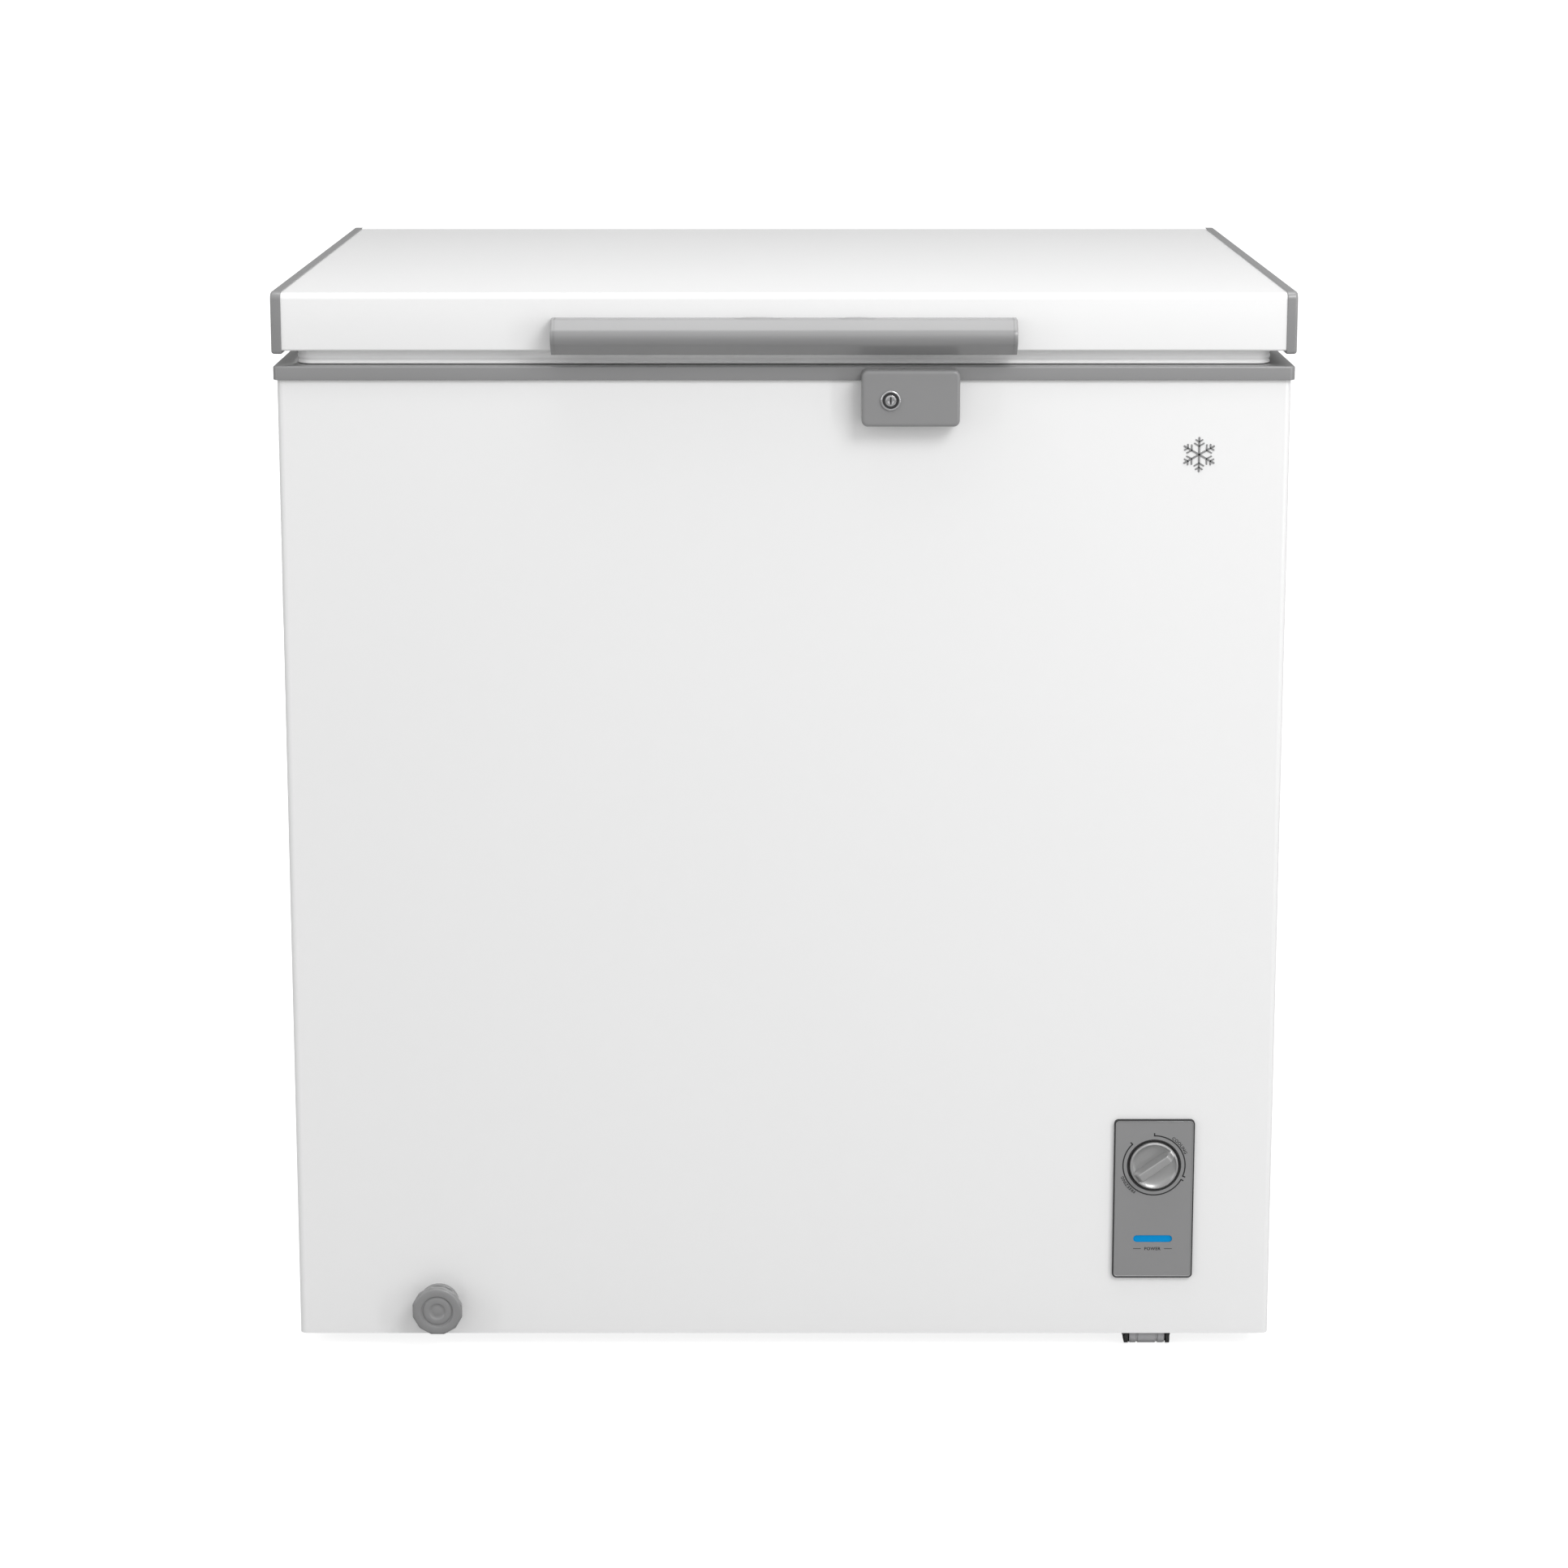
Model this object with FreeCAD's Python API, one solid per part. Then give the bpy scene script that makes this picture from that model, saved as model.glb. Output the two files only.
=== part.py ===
"""Chest freezer with a hinged lid, a key lock, a temperature dial and a front drain.

Millimetres, +Z up. The origin is on the floor, under the middle of the overall box. The front faces -Y and
the machine bay with the compressor is at the right, +X. Each sub-part is written to parts/NAME.step.
"""

import FreeCAD, Part
import math
import os
from FreeCAD import Vector

# ---------------------------------------------------------------------------------------------------------
# Driving dimensions
# ---------------------------------------------------------------------------------------------------------
overall_width = 780.0  # across the lid's end caps
overall_height = 850.0  # floor to the top of the lid's end caps
cabinet_depth = 523.0  # front sheet to rear sheet
floor_gap = 12.5  # cabinet's lower edge above the floor
wall = 60.0  # cabinet's outside to the liner's inside, all round and below
contact_gap = 0.3  # between faces of different moving bodies
running_clearance = 0.05  # radial, between a shaft and its bore

# Cabinet sheets
sheet = 1.0
cabinet_corner = 5.0
hem = 12.0  # return flange along the wrap's lower edge
pan_sheet = 1.2
liner_sheet = 1.2
liner_corner = 26.0
liner_flange = 14.0

# Machine bay, at the right-hand end
bay_width = 181.0
bay_height = 238.0
bay_foam = 50.0  # insulation between the bay and the liner's step

# Grey frame round the mouth of the cabinet
trim_height = 11.0
trim_reach = 2.5  # stands out past the sides
trim_front_reach = 3.0
trim_plate = 3.0
trim_corner = 5.0
trim_lip = 2.5
ledge_depth = 14.0  # the basket's ledge below the trim's top
ledge_reach = 8.0
ledge_sheet = 2.5

# Lid
cap_width = 8.0
cap_proud = 1.2  # end caps stand above and in front of the sheet
cap_drop = 2.4  # end caps hang below the sheet
cap_reach = 3.0  # end caps stand out past the cabinet's sides
lid_front_reach = 3.0
lid_sheet_height = 44.2
lid_sheet_radius = 5.0
lid_hem = 10.0
lid_liner_sheet = 2.0
lid_plug_gap = 12.0  # between the plug's sides and the mouth
lid_plug_depth = 4.0  # below the trim's top
lid_plug_corner = 24.0
gasket_height = 12.3
gasket_width = 16.0
gasket_side_inset = 17.0  # from the end cap's outside
gasket_corner = 14.0
gasket_fold = 2.2  # depth of the bellows fold

# Handle on the lid's front
handle_width = 353.0
handle_projection = 26.0
handle_height = 27.0
handle_drop = 1.4  # hangs below the lid's sheet
handle_wall = 3.0

# Lock on the cabinet's front
lock_centre_x = 96.2
lock_width = 74.8
lock_height = 43.4
lock_depth = 18.0
lock_wall = 2.5
lock_corner = 5.0
lock_top_below_trim = 1.2
barrel_radius = 7.5
core_radius = 4.8
barrel_from_side = 22.1  # barrel's axis from the housing's left side
barrel_below_top = 23.0
cam_sheet = 2.5
cam_arm_width = 8.0
cam_barb = 7.0
cam_barb_height = 3.7

# Control panel on the cabinet's front
panel_from_side = 93.7  # panel's middle from the cabinet's right side
panel_width = 63.0
panel_height = 131.0
panel_bottom = 48.2  # above the cabinet's lower edge
panel_sheet = 2.5
panel_corner = 4.0
dial_radius = 18.8
dial_gap = 1.5
dial_below_top = 37.4
dial_rest_angle = 36.0  # pointer above the horizontal, seen from the front
grip_height = 8.5
grip_width = 7.5
lens_width = 31.0
lens_height = 5.9
lens_above_bottom = 32.3
lens_recess = 0.8

# Drain at the lower left
drain_from_side = 111.6  # drain's axis from the cabinet's left side
drain_height = 26.0  # axis above the cabinet's lower edge
drain_pipe_radius = 11.0
drain_bore = 8.0
drain_bend = 20.0
drain_cap_radius = 20.2
drain_cap_depth = 13.0
drain_cap_standoff = 6.5
drain_from_cavity_front = 42.0

# Hinges on the cabinet's back
hinge_inset = 140.0  # hinge's middle from the cabinet's side
hinge_projection = 16.0
hinge_pin_radius = 3.0
hinge_ear_radius = 8.0
hinge_leaf_ear_radius = 7.0
hinge_width = 56.0
hinge_leaf_width = 43.0
hinge_sheet = 2.5
hinge_plate_height = 90.0

# Casters at the right, foot pads at the left
caster_radius = 9.0
caster_width = 28.0
caster_side_gap = 1.0
caster_side_sheet = 3.0
caster_plate = 1.5
caster_from_side = 96.1  # casters' middle from the cabinet's right side
caster_setback = 12.5
caster_axle_radius = 2.2
foot_radius = 16.0
foot_setback = 62.0
foot_inset = 95.0

# Screws
screw_head_radius = 4.0
screw_head_height = 2.2
screw_radius = 1.8
screw_length = 8.0

# Refrigeration circuit
evaporator_tube = 4.0
evaporator_loops = 5
evaporator_top_margin = 110.0
condenser_tube = 2.5
condenser_runs = 4
tube_bend = 18.0
compressor_radius = 68.0
compressor_height = 148.0
compressor_sheet = 3.0

# Basket
basket_width = 230.0
basket_height = 195.0
basket_side_gap = 4.0
rim_wire = 2.5
mesh_wire = 1.5
mesh_pitch = 44.0

# ---------------------------------------------------------------------------------------------------------
# Levels and faces worked out from them
# ---------------------------------------------------------------------------------------------------------
half_width = overall_width / 2 - cap_reach  # of the cabinet
panel_centre_x = half_width - panel_from_side
drain_x = -half_width + drain_from_side
caster_centre_x = half_width - caster_from_side
overall_depth = handle_projection + lid_front_reach + cabinet_depth + hinge_projection
front = -overall_depth / 2 + handle_projection + lid_front_reach
rear = front + cabinet_depth
bottom = floor_gap

lid_front = front - lid_front_reach
lid_top = overall_height - cap_proud
lid_bottom = lid_top - lid_sheet_height
lid_half = overall_width / 2 - cap_width
gasket_top = lid_bottom + sheet
trim_top = gasket_top - gasket_height - contact_gap
trim_bottom = trim_top - trim_height
plate_under = trim_top - trim_plate
trim_front = front - trim_front_reach

inside_left = -half_width + sheet
inside_right = half_width - sheet
inside_front = front + sheet
inside_rear = rear - sheet
pan_bottom = bottom + sheet
pan_top = pan_bottom + pan_sheet

bay_left = inside_right - bay_width
bay_top = pan_top + bay_height

cavity_left = -half_width + wall
cavity_right = half_width - wall
cavity_front = front + wall
cavity_rear = rear - wall
cavity_floor = bottom + wall
step_left = bay_left - sheet - bay_foam
step_top = bay_top + sheet + bay_foam

mouth_left = cavity_left + trim_lip
mouth_right = cavity_right - trim_lip
mouth_front = cavity_front + trim_lip
mouth_rear = cavity_rear - trim_lip
ledge_top = trim_top - ledge_depth

hinge_axis_y = rear + hinge_projection - hinge_ear_radius
hinge_axis_z = (trim_top + lid_bottom) / 2
handle_base = lid_bottom - handle_drop

X, Y, Z = Vector(1, 0, 0), Vector(0, 1, 0), Vector(0, 0, 1)


# ---------------------------------------------------------------------------------------------------------
# Shape helpers
# ---------------------------------------------------------------------------------------------------------
def block(x0, x1, y0, y1, z0, z1):
    """Box between two opposite corners."""
    return Part.makeBox(x1 - x0, y1 - y0, z1 - z0, Vector(x0, y0, z0))


def edges_where(shape, test):
    """Edges whose two ends both pass the test."""
    return [e for e in shape.Edges if all(test(v.Point) for v in e.Vertexes)]


def edges_along(shape, axis, test=lambda point: True):
    """Straight edges parallel to an axis, with both ends passing the test."""
    found = []
    for e in edges_where(shape, test):
        ends = [v.Point for v in e.Vertexes]
        if len(ends) == 2 and (ends[1] - ends[0]).cross(axis).Length < 1e-6:
            found.append(e)
    return found


def slab(x0, x1, y0, y1, z0, z1, radius, axis=Z):
    """Box whose four edges along one axis are rounded."""
    shape = block(x0, x1, y0, y1, z0, z1)
    return shape.makeFillet(radius, edges_along(shape, axis))


def rod(start, direction, length, radius):
    """Round bar."""
    return Part.makeCylinder(radius, length, start, direction)


def ring(start, direction, length, outer, inner):
    """Round tube."""
    return rod(start, direction, length, outer).cut(rod(start, direction, length, inner))


def bent_path(points, bend):
    """Straight runs joined by tangent arcs of one bend radius."""
    points = [Vector(*p) for p in points]
    edges = []
    start = points[0]
    for before, corner, after in zip(points, points[1:], points[2:]):
        back = (before - corner).normalize()
        ahead = (after - corner).normalize()
        half_turn = (math.pi - back.getAngle(ahead)) / 2
        setback = bend * math.tan(half_turn)
        arc_start = corner + back * setback
        arc_end = corner + ahead * setback
        inward = (back + ahead).normalize()
        middle = corner + inward * (bend / math.cos(half_turn) - bend)
        edges.append(Part.makeLine(start, arc_start))
        edges.append(Part.Arc(arc_start, middle, arc_end).toShape())
        start = arc_end
    edges.append(Part.makeLine(start, points[-1]))
    return Part.Wire(edges)


def bent_tube(points, bend, radius):
    """Solid round tube along a bent path."""
    path = bent_path(points, bend)
    first = path.Edges[0]
    direction = first.tangentAt(first.FirstParameter)
    section = Part.Wire(Part.makeCircle(radius, Vector(*points[0]), direction))
    return path.makePipeShell([section], True, False)


def prism_x(outline, x0, x1):
    """Outline given as (y, z) corners, extruded along X."""
    corners = [Vector(x0, y, z) for y, z in outline]
    face = Part.Face(Part.makePolygon(corners + corners[:1]))
    return face.extrude(X * (x1 - x0))


def mirrored(shape):
    """Copy on the other side of the plane X = 0."""
    return shape.mirror(Vector(0, 0, 0), X)


def screw(at, direction):
    """Pan-head screw: the head stands on the face at its point, and the shank goes in."""
    top = rod(at, direction, screw_head_height, screw_head_radius)
    rim = [e for e in top.Edges if isinstance(e.Curve, Part.Circle)]
    outer_rim = [e for e in rim if (e.Curve.Center - at).Length > screw_head_height / 2]
    top = top.makeFillet(screw_head_height * 0.6, outer_rim)
    return top.fuse(rod(at, direction * -1, screw_length, screw_radius)).removeSplitter()


def cabinet_block(inset, z0, z1, past_rear=0.0):
    """Plan of the cabinet, drawn in by an inset, with its two front corners rounded."""
    x1 = half_width - inset
    shape = block(-x1, x1, front + inset, rear - inset + past_rear, z0, z1)
    corners = edges_along(shape, Z, lambda p: p.y < front + inset + 1)
    return shape.makeFillet(cabinet_corner - inset, corners)


def cavity_block(grow, z0, z1):
    """Plan of the food cavity, grown by a distance, with its corners rounded."""
    return slab(
        cavity_left - grow,
        cavity_right + grow,
        cavity_front - grow,
        cavity_rear + grow,
        z0,
        z1,
        liner_corner + grow,
    )


# ---------------------------------------------------------------------------------------------------------
# Places shared by several pieces
# ---------------------------------------------------------------------------------------------------------
lock_left = lock_centre_x - lock_width / 2
lock_right = lock_centre_x + lock_width / 2
lock_top = trim_top - lock_top_below_trim
lock_base = lock_top - lock_height
lock_front = front - lock_depth
barrel_x = lock_left + barrel_from_side
barrel_z = lock_top - barrel_below_top
cam_front = trim_front - cam_sheet - 3.3
strike_lip_top = lid_bottom + 2.4
barb_bottom = strike_lip_top + 1.5
cam_reach = barb_bottom + cam_barb_height - barrel_z

panel_left = panel_centre_x - panel_width / 2
panel_right = panel_centre_x + panel_width / 2
panel_base = bottom + panel_bottom
panel_top = panel_base + panel_height
panel_front = front - panel_sheet
dial_z = panel_top - dial_below_top
lens_z = panel_base + lens_above_bottom
dial_cup_radius = dial_radius + dial_gap
dial_cup_floor = front + 5.0
dial_front = panel_front - 0.4
thermostat_shaft = 3.0

drain_z = bottom + drain_height
drain_y = cavity_front + drain_from_cavity_front

vent_front = rear - 250.0
vent_rear = rear - 50.0
vent_bottom = bottom + 38.0
vent_top = bay_top - 30.0
cover_left = bay_left + 14.0
cover_right = inside_right - 12.0
cover_bottom = bottom + 16.0
cover_top = bay_top - 14.0
gland_x = cover_left + 26.0
gland_z = cover_bottom + 26.0
gland_radius = 9.0
cord_radius = 3.8

caster_ys = {"front": front + caster_setback, "rear": rear - caster_setback}
caster_z = caster_radius

# Where the refrigerant tubes cross the bay's bulkhead, as (y, z)
middle_y = (front + rear) / 2
discharge_hole = (middle_y - 46.0, pan_top + 93.0)
liquid_hole = (middle_y - 86.0, pan_top + 143.0)
capillary_hole = (middle_y + 34.0, pan_top + 183.0)
suction_hole = (middle_y + 74.0, pan_top + 213.0)


# ---------------------------------------------------------------------------------------------------------
# Cabinet
# ---------------------------------------------------------------------------------------------------------
def outer_wrap():
    """Painted sheet bent round the front and both sides, with a return flange below."""
    shell = cabinet_block(0, bottom, plate_under)
    hollow = cabinet_block(sheet, bottom - 1, plate_under + 1, past_rear=2 * sheet)
    shell = shell.cut(hollow)
    flange = cabinet_block(0, bottom, pan_bottom)
    flange = flange.cut(
        block(-half_width + hem, half_width - hem, front + hem, rear + 1, bottom - 1, pan_bottom + 1)
    )
    inside_flange = flange.common(cabinet_block(sheet, bottom - 1, plate_under, past_rear=sheet))
    x0, x1, y0, y1, z0, z1 = caster_plate_box(caster_ys["front"])
    notch = block(x0 - 0.5, x1 + 0.5, front + sheet, front + hem + 1, bottom - 1, pan_bottom + 1)
    shell = shell.fuse(inside_flange.cut(notch)).removeSplitter()
    margin = panel_corner
    panel_hole = block(
        panel_left + margin,
        panel_right - margin,
        front - 1,
        inside_front + 1,
        panel_base + margin,
        panel_top - margin,
    )
    vent_hole = block(
        inside_right - 1, half_width + 1, vent_front + 6, vent_rear - 6, vent_bottom + 6, vent_top - 6
    )
    drain_hole = rod(Vector(drain_x, front - 1, drain_z), Y, sheet + 2, drain_pipe_radius)
    return shell.cut([panel_hole, vent_hole, drain_hole])


def rear_panel():
    """Flat back sheet with the opening to the machine bay."""
    panel = block(inside_left, inside_right, inside_rear, rear, pan_bottom, plate_under)
    opening = slab(
        cover_left + 8, cover_right - 8, rear - 5, rear + 5, cover_bottom + 8, cover_top - 8, 6, axis=Y
    )
    return panel.cut(opening)


def caster_slot(y):
    """Clearance through the base for the top of a caster wheel and its bracket's cheeks."""
    half = caster_width / 2 + caster_side_gap + caster_side_sheet
    reach = caster_radius + 1.5
    return (caster_centre_x - half, caster_centre_x + half, y - reach, y + reach)


def caster_plate_box(y):
    """Extent of a bracket's plate, which runs on from the wheel towards the cabinet's middle."""
    half = caster_width / 2 + caster_side_gap + caster_side_sheet + 6
    near = caster_radius + 0.5
    far = near + 18
    low, high = (y - near, y + far) if y < 0 else (y - far, y + near)
    return (caster_centre_x - half, caster_centre_x + half, low, high, pan_bottom - caster_plate, pan_bottom)


def base_pan():
    """Bottom sheet, standing on the wrap's flange."""
    pan = cabinet_block(sheet, pan_bottom, pan_top)
    slots = [block(*caster_slot(y), bottom, pan_top + 1) for y in caster_ys.values()]
    return pan.cut(slots + [caster_axle(y) for y in caster_ys.values()])


def bay_bulkhead():
    """Bent sheet between the machine bay and the foam: one wall and one roof."""
    wall_sheet = block(bay_left - sheet, bay_left, inside_front, inside_rear, pan_top, bay_top + sheet)
    roof = block(bay_left, inside_right, inside_front, inside_rear, bay_top, bay_top + sheet)
    bulkhead = wall_sheet.fuse(roof).common(cabinet_block(sheet, pan_top, plate_under))
    holes = [
        rod(Vector(bay_left - sheet - 1, y, z), X, sheet + 2, radius)
        for (y, z), radius in (
            (discharge_hole, condenser_tube),
            (liquid_hole, condenser_tube),
            (capillary_hole, evaporator_tube),
            (suction_hole, evaporator_tube),
        )
    ]
    return bulkhead.removeSplitter().cut(holes)


def stepped_cavity(grow, top):
    """Food cavity with the step over the machine bay."""
    cavity = cavity_block(grow, cavity_floor - grow, top)
    step = block(
        step_left + grow,
        cavity_right + wall,
        cavity_front - wall,
        cavity_rear + wall,
        cavity_floor - wall,
        step_top - grow,
    )
    return cavity.cut(step)


def liner():
    """Thin folded tank with a flange round its mouth."""
    tank = stepped_cavity(liner_sheet, plate_under)
    flange = cavity_block(liner_flange, plate_under - liner_sheet, plate_under)
    drain_hole = rod(Vector(drain_x, drain_y, cavity_floor - 5), Z, 10, drain_pipe_radius)
    return tank.fuse(flange).cut([stepped_cavity(0, plate_under + 1), drain_hole]).removeSplitter()


def insulation_foam(pipes):
    """Foamed-in insulation between the sheets and the liner, with the tubes' channels."""
    foam = cabinet_block(sheet, pan_top, plate_under)
    bay = block(bay_left - sheet, half_width, front, rear, bottom, bay_top + sheet)
    flange = cavity_block(liner_flange, plate_under - liner_sheet, plate_under + 1)
    return foam.cut([bay, flange, stepped_cavity(liner_sheet, plate_under + 1)]).cut(pipes)


def top_trim():
    """Grey frame that covers the top of the walls, with the basket's ledge inside."""
    x1 = half_width + trim_reach
    body = block(-x1, x1, trim_front, rear, trim_bottom, trim_top)
    body = body.makeFillet(trim_corner, edges_along(body, Z, lambda p: p.y < trim_front + 1))
    top_edges = edges_where(body, lambda p: p.z > trim_top - 0.01 and p.y < rear - 0.01)
    body = body.makeFillet(1.5, top_edges)
    under = cabinet_block(0, trim_bottom - 1, plate_under, past_rear=10)
    plate = body.cut(under)
    lip = cavity_block(0, ledge_top - ledge_sheet, plate_under)
    mouth = cavity_block(-trim_lip, trim_bottom - 50, trim_top + 10)
    ledge = cavity_block(-trim_lip, ledge_top - ledge_sheet, ledge_top)
    ledge = ledge.cut(cavity_block(-trim_lip - ledge_reach, ledge_top - 20, ledge_top + 1))
    return plate.fuse(lip).cut(mouth).fuse(ledge).removeSplitter()


def vent_slots(x0, x1, y0, y1, z0, z1, pitch, gap, along):
    """Level slots through a grille, as cutters. along is the axis that they run through."""
    count = int((z1 - z0 - gap) // pitch) + 1
    low = (z0 + z1 - (count - 1) * pitch - gap) / 2
    return [
        slab(x0, x1, y0, y1, low + n * pitch, low + n * pitch + gap, gap / 2 - 0.05, axis=along)
        for n in range(count)
    ]


def side_vent_grille():
    """Grille that lets air into the machine bay through the right side."""
    outer = slab(half_width, half_width + 2.0, vent_front, vent_rear, vent_bottom, vent_top, 6, axis=X)
    edge = edges_where(outer, lambda p: p.x > half_width + 1.9)
    outer = outer.makeFillet(1.2, edge)
    spigot = block(
        inside_right - 3, half_width, vent_front + 6, vent_rear - 6, vent_bottom + 6, vent_top - 6
    )
    hollow = block(
        inside_right - 4, half_width - 1, vent_front + 9, vent_rear - 9, vent_bottom + 9, vent_top - 9
    )
    grille = outer.fuse(spigot).cut(hollow)
    slots = vent_slots(
        half_width - 2, half_width + 3, vent_front + 16, vent_rear - 16, vent_bottom + 12, vent_top - 12,
        pitch=11.0, gap=4.5, along=X,
    )
    return grille.cut(slots).removeSplitter()


def rear_bay_cover():
    """Slotted cover screwed over the machine bay at the back."""
    cover = slab(cover_left, cover_right, rear, rear + 2.5, cover_bottom, cover_top, 6, axis=Y)
    edge = edges_where(cover, lambda p: p.y > rear + 2.4)
    cover = cover.makeFillet(1.2, edge)
    slots = vent_slots(
        cover_left + 22, cover_right - 22, rear - 1, rear + 4, cover_bottom + 52, cover_top - 24,
        pitch=12.0, gap=5.0, along=Y,
    )
    gland_hole = rod(Vector(gland_x, rear - 1, gland_z), Y, 5, gland_radius)
    return cover.cut(slots + [gland_hole])


def cord_gland():
    """Grommet that the mains cord leaves through."""
    at = Vector(gland_x, rear - 6, gland_z)
    body = rod(at, Y, 8.5, gland_radius)
    collar = rod(Vector(gland_x, rear + 2.5, gland_z), Y, 5.5, gland_radius + 2)
    bore = rod(at, Y, 20, cord_radius)
    return body.fuse(collar).cut(bore).removeSplitter()


def cover_screws():
    """Screws at the corners of the rear bay cover."""
    inset = 9.0
    return Part.makeCompound(
        [
            screw(Vector(x, rear + 2.5, z), Y)
            for x in (cover_left + inset, cover_right - inset)
            for z in (cover_bottom + inset, cover_top - inset)
        ]
    )


def bored_for_screws(shape, screws):
    """A piece with the screws' own space taken out of it."""
    return shape.cut(screws.Solids)


# ---------------------------------------------------------------------------------------------------------
# Control panel, dial and thermostat
# ---------------------------------------------------------------------------------------------------------
def lens_block(y0, y1, grow=0.0):
    """Round-ended slot of the power light."""
    half = lens_width / 2 + grow
    rise = lens_height / 2 + grow
    left, right = panel_centre_x - half, panel_centre_x + half
    return slab(left, right, y0, y1, lens_z - rise, lens_z + rise, rise - 0.05, axis=Y)


def control_panel():
    """Grey fascia with a cup for the dial and a slot for the power light."""
    face = slab(panel_left, panel_right, panel_front, front, panel_base, panel_top, panel_corner, axis=Y)
    face = face.makeFillet(1.0, edges_where(face, lambda p: p.y < panel_front + 0.01))
    margin = panel_corner
    frame = block(
        panel_left + margin, panel_right - margin, front, front + 6, panel_base + margin, panel_top - margin
    )
    frame = frame.cut(
        block(
            panel_left + margin + 2, panel_right - margin - 2, front, front + 7,
            panel_base + margin + 2, panel_top - margin - 2,
        )
    )
    axis = Vector(panel_centre_x, panel_front - 1, dial_z)
    cup = rod(Vector(panel_centre_x, front, dial_z), Y, dial_cup_floor + 1.5 - front, dial_cup_radius + 1.5)
    cup_hollow = rod(axis, Y, dial_cup_floor - panel_front + 1, dial_cup_radius)
    shaft_hole = rod(axis, Y, 20, thermostat_shaft + 1)
    lens_hole = lens_block(panel_front - 1, front + 1)
    return face.fuse([frame, cup]).cut([cup_hollow, shaft_hole, lens_hole]).removeSplitter()


def power_lens():
    """Blue lens of the power light, set back in its slot."""
    body = lens_block(panel_front + lens_recess, front)
    flange = lens_block(front, front + 3, grow=1.5)
    return body.fuse(flange).removeSplitter()


def power_lamp():
    """Neon lamp in its clip behind the lens."""
    clip = block(panel_centre_x - 9, panel_centre_x + 9, front + 3, front + 6, lens_z - 6, lens_z + 6)
    bulb = rod(Vector(panel_centre_x, front + 6, lens_z), Y, 22, 5.0)
    return clip.fuse(bulb).removeSplitter()


def thermostat_body():
    """Thermostat switch behind the dial, with a bush for its shaft."""
    back = dial_cup_floor + 1.5
    box = block(
        panel_centre_x - 20, panel_centre_x + 20, back, back + 34, dial_z - 20, dial_z + 20
    )
    return box.cut(
        rod(Vector(panel_centre_x, back - 1, dial_z), Y, 13, thermostat_shaft + running_clearance)
    )


def thermostat_spindle():
    """Shaft that the dial turns."""
    start = dial_front + 2.5
    return rod(Vector(panel_centre_x, start, dial_z), Y, dial_cup_floor + 12 - start, thermostat_shaft)


def temperature_dial():
    """Round dial with a dished face and a grip bar across it."""
    at = Vector(panel_centre_x, dial_front, dial_z)
    back = dial_cup_floor - contact_gap - 0.5
    disc = rod(at, Y, back - dial_front, dial_radius)
    circles = [e for e in disc.Edges if isinstance(e.Curve, Part.Circle)]
    disc = disc.makeFillet(1.2, [e for e in circles if abs(e.Curve.Center.y - dial_front) < 0.01])
    disc = disc.cut(rod(at, Y, 1.0, dial_radius - 2.2))
    grip = block(
        panel_centre_x - dial_radius,
        panel_centre_x + dial_radius,
        dial_front - grip_height,
        dial_front + 1.0,
        dial_z - grip_width / 2,
        dial_z + grip_width / 2,
    )
    crest = edges_along(grip, X, lambda p: p.y < dial_front - grip_height + 0.01)
    grip = grip.makeChamfer(1.6, crest)
    grip = grip.common(rod(at - Y * 20, Y, 30, dial_radius - 0.6))
    grip.rotate(at, Y, -dial_rest_angle)
    bore = rod(Vector(panel_centre_x, dial_front + 2.5, dial_z), Y, 20, thermostat_shaft)
    return disc.fuse(grip).cut(bore).removeSplitter()


# ---------------------------------------------------------------------------------------------------------
# Lock
# ---------------------------------------------------------------------------------------------------------
def lock_housing():
    """Box on the cabinet's front, notched over the trim, with a slot on top for the cam."""
    body = slab(lock_left, lock_right, lock_front, front, lock_base, lock_top, lock_corner, axis=Y)
    body = body.makeFillet(2.5, edges_where(body, lambda p: p.y < lock_front + 0.01))
    over_trim = block(lock_left - 1, lock_right + 1, trim_front, front + 1, trim_bottom, lock_top + 1)
    hollow = slab(
        lock_left + lock_wall,
        lock_right - lock_wall,
        lock_front + lock_wall,
        front + 1,
        lock_base + lock_wall,
        lock_top - lock_wall,
        lock_corner - lock_wall,
        axis=Y,
    )
    barrel_hole = rod(Vector(barrel_x, lock_front - 5, barrel_z), Y, 10, barrel_radius)
    slot_reach = math.hypot(cam_reach, cam_arm_width / 2 + cam_barb)
    slot_right = barrel_x + math.sqrt(slot_reach**2 - (lock_top - lock_wall - barrel_z) ** 2) + 2.5
    slot = block(
        barrel_x - cam_arm_width / 2 - 1.5,
        slot_right,
        cam_front - 1.4,
        cam_front + cam_sheet + 1.4,
        lock_top - lock_wall - 1,
        lock_top + 1,
    )
    return body.cut([over_trim, hollow, barrel_hole, slot])


def lock_barrel():
    """Fixed bezel and body that the core turns in."""
    start = lock_front - 1.2
    length = cam_front - 0.6 - start
    bore = core_radius + running_clearance
    body = ring(Vector(barrel_x, start, barrel_z), Y, length, barrel_radius, bore)
    groove = ring(Vector(barrel_x, start - 1, barrel_z), Y, 2.6, barrel_radius - 0.8, core_radius - 1)
    return body.cut(groove)


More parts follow.
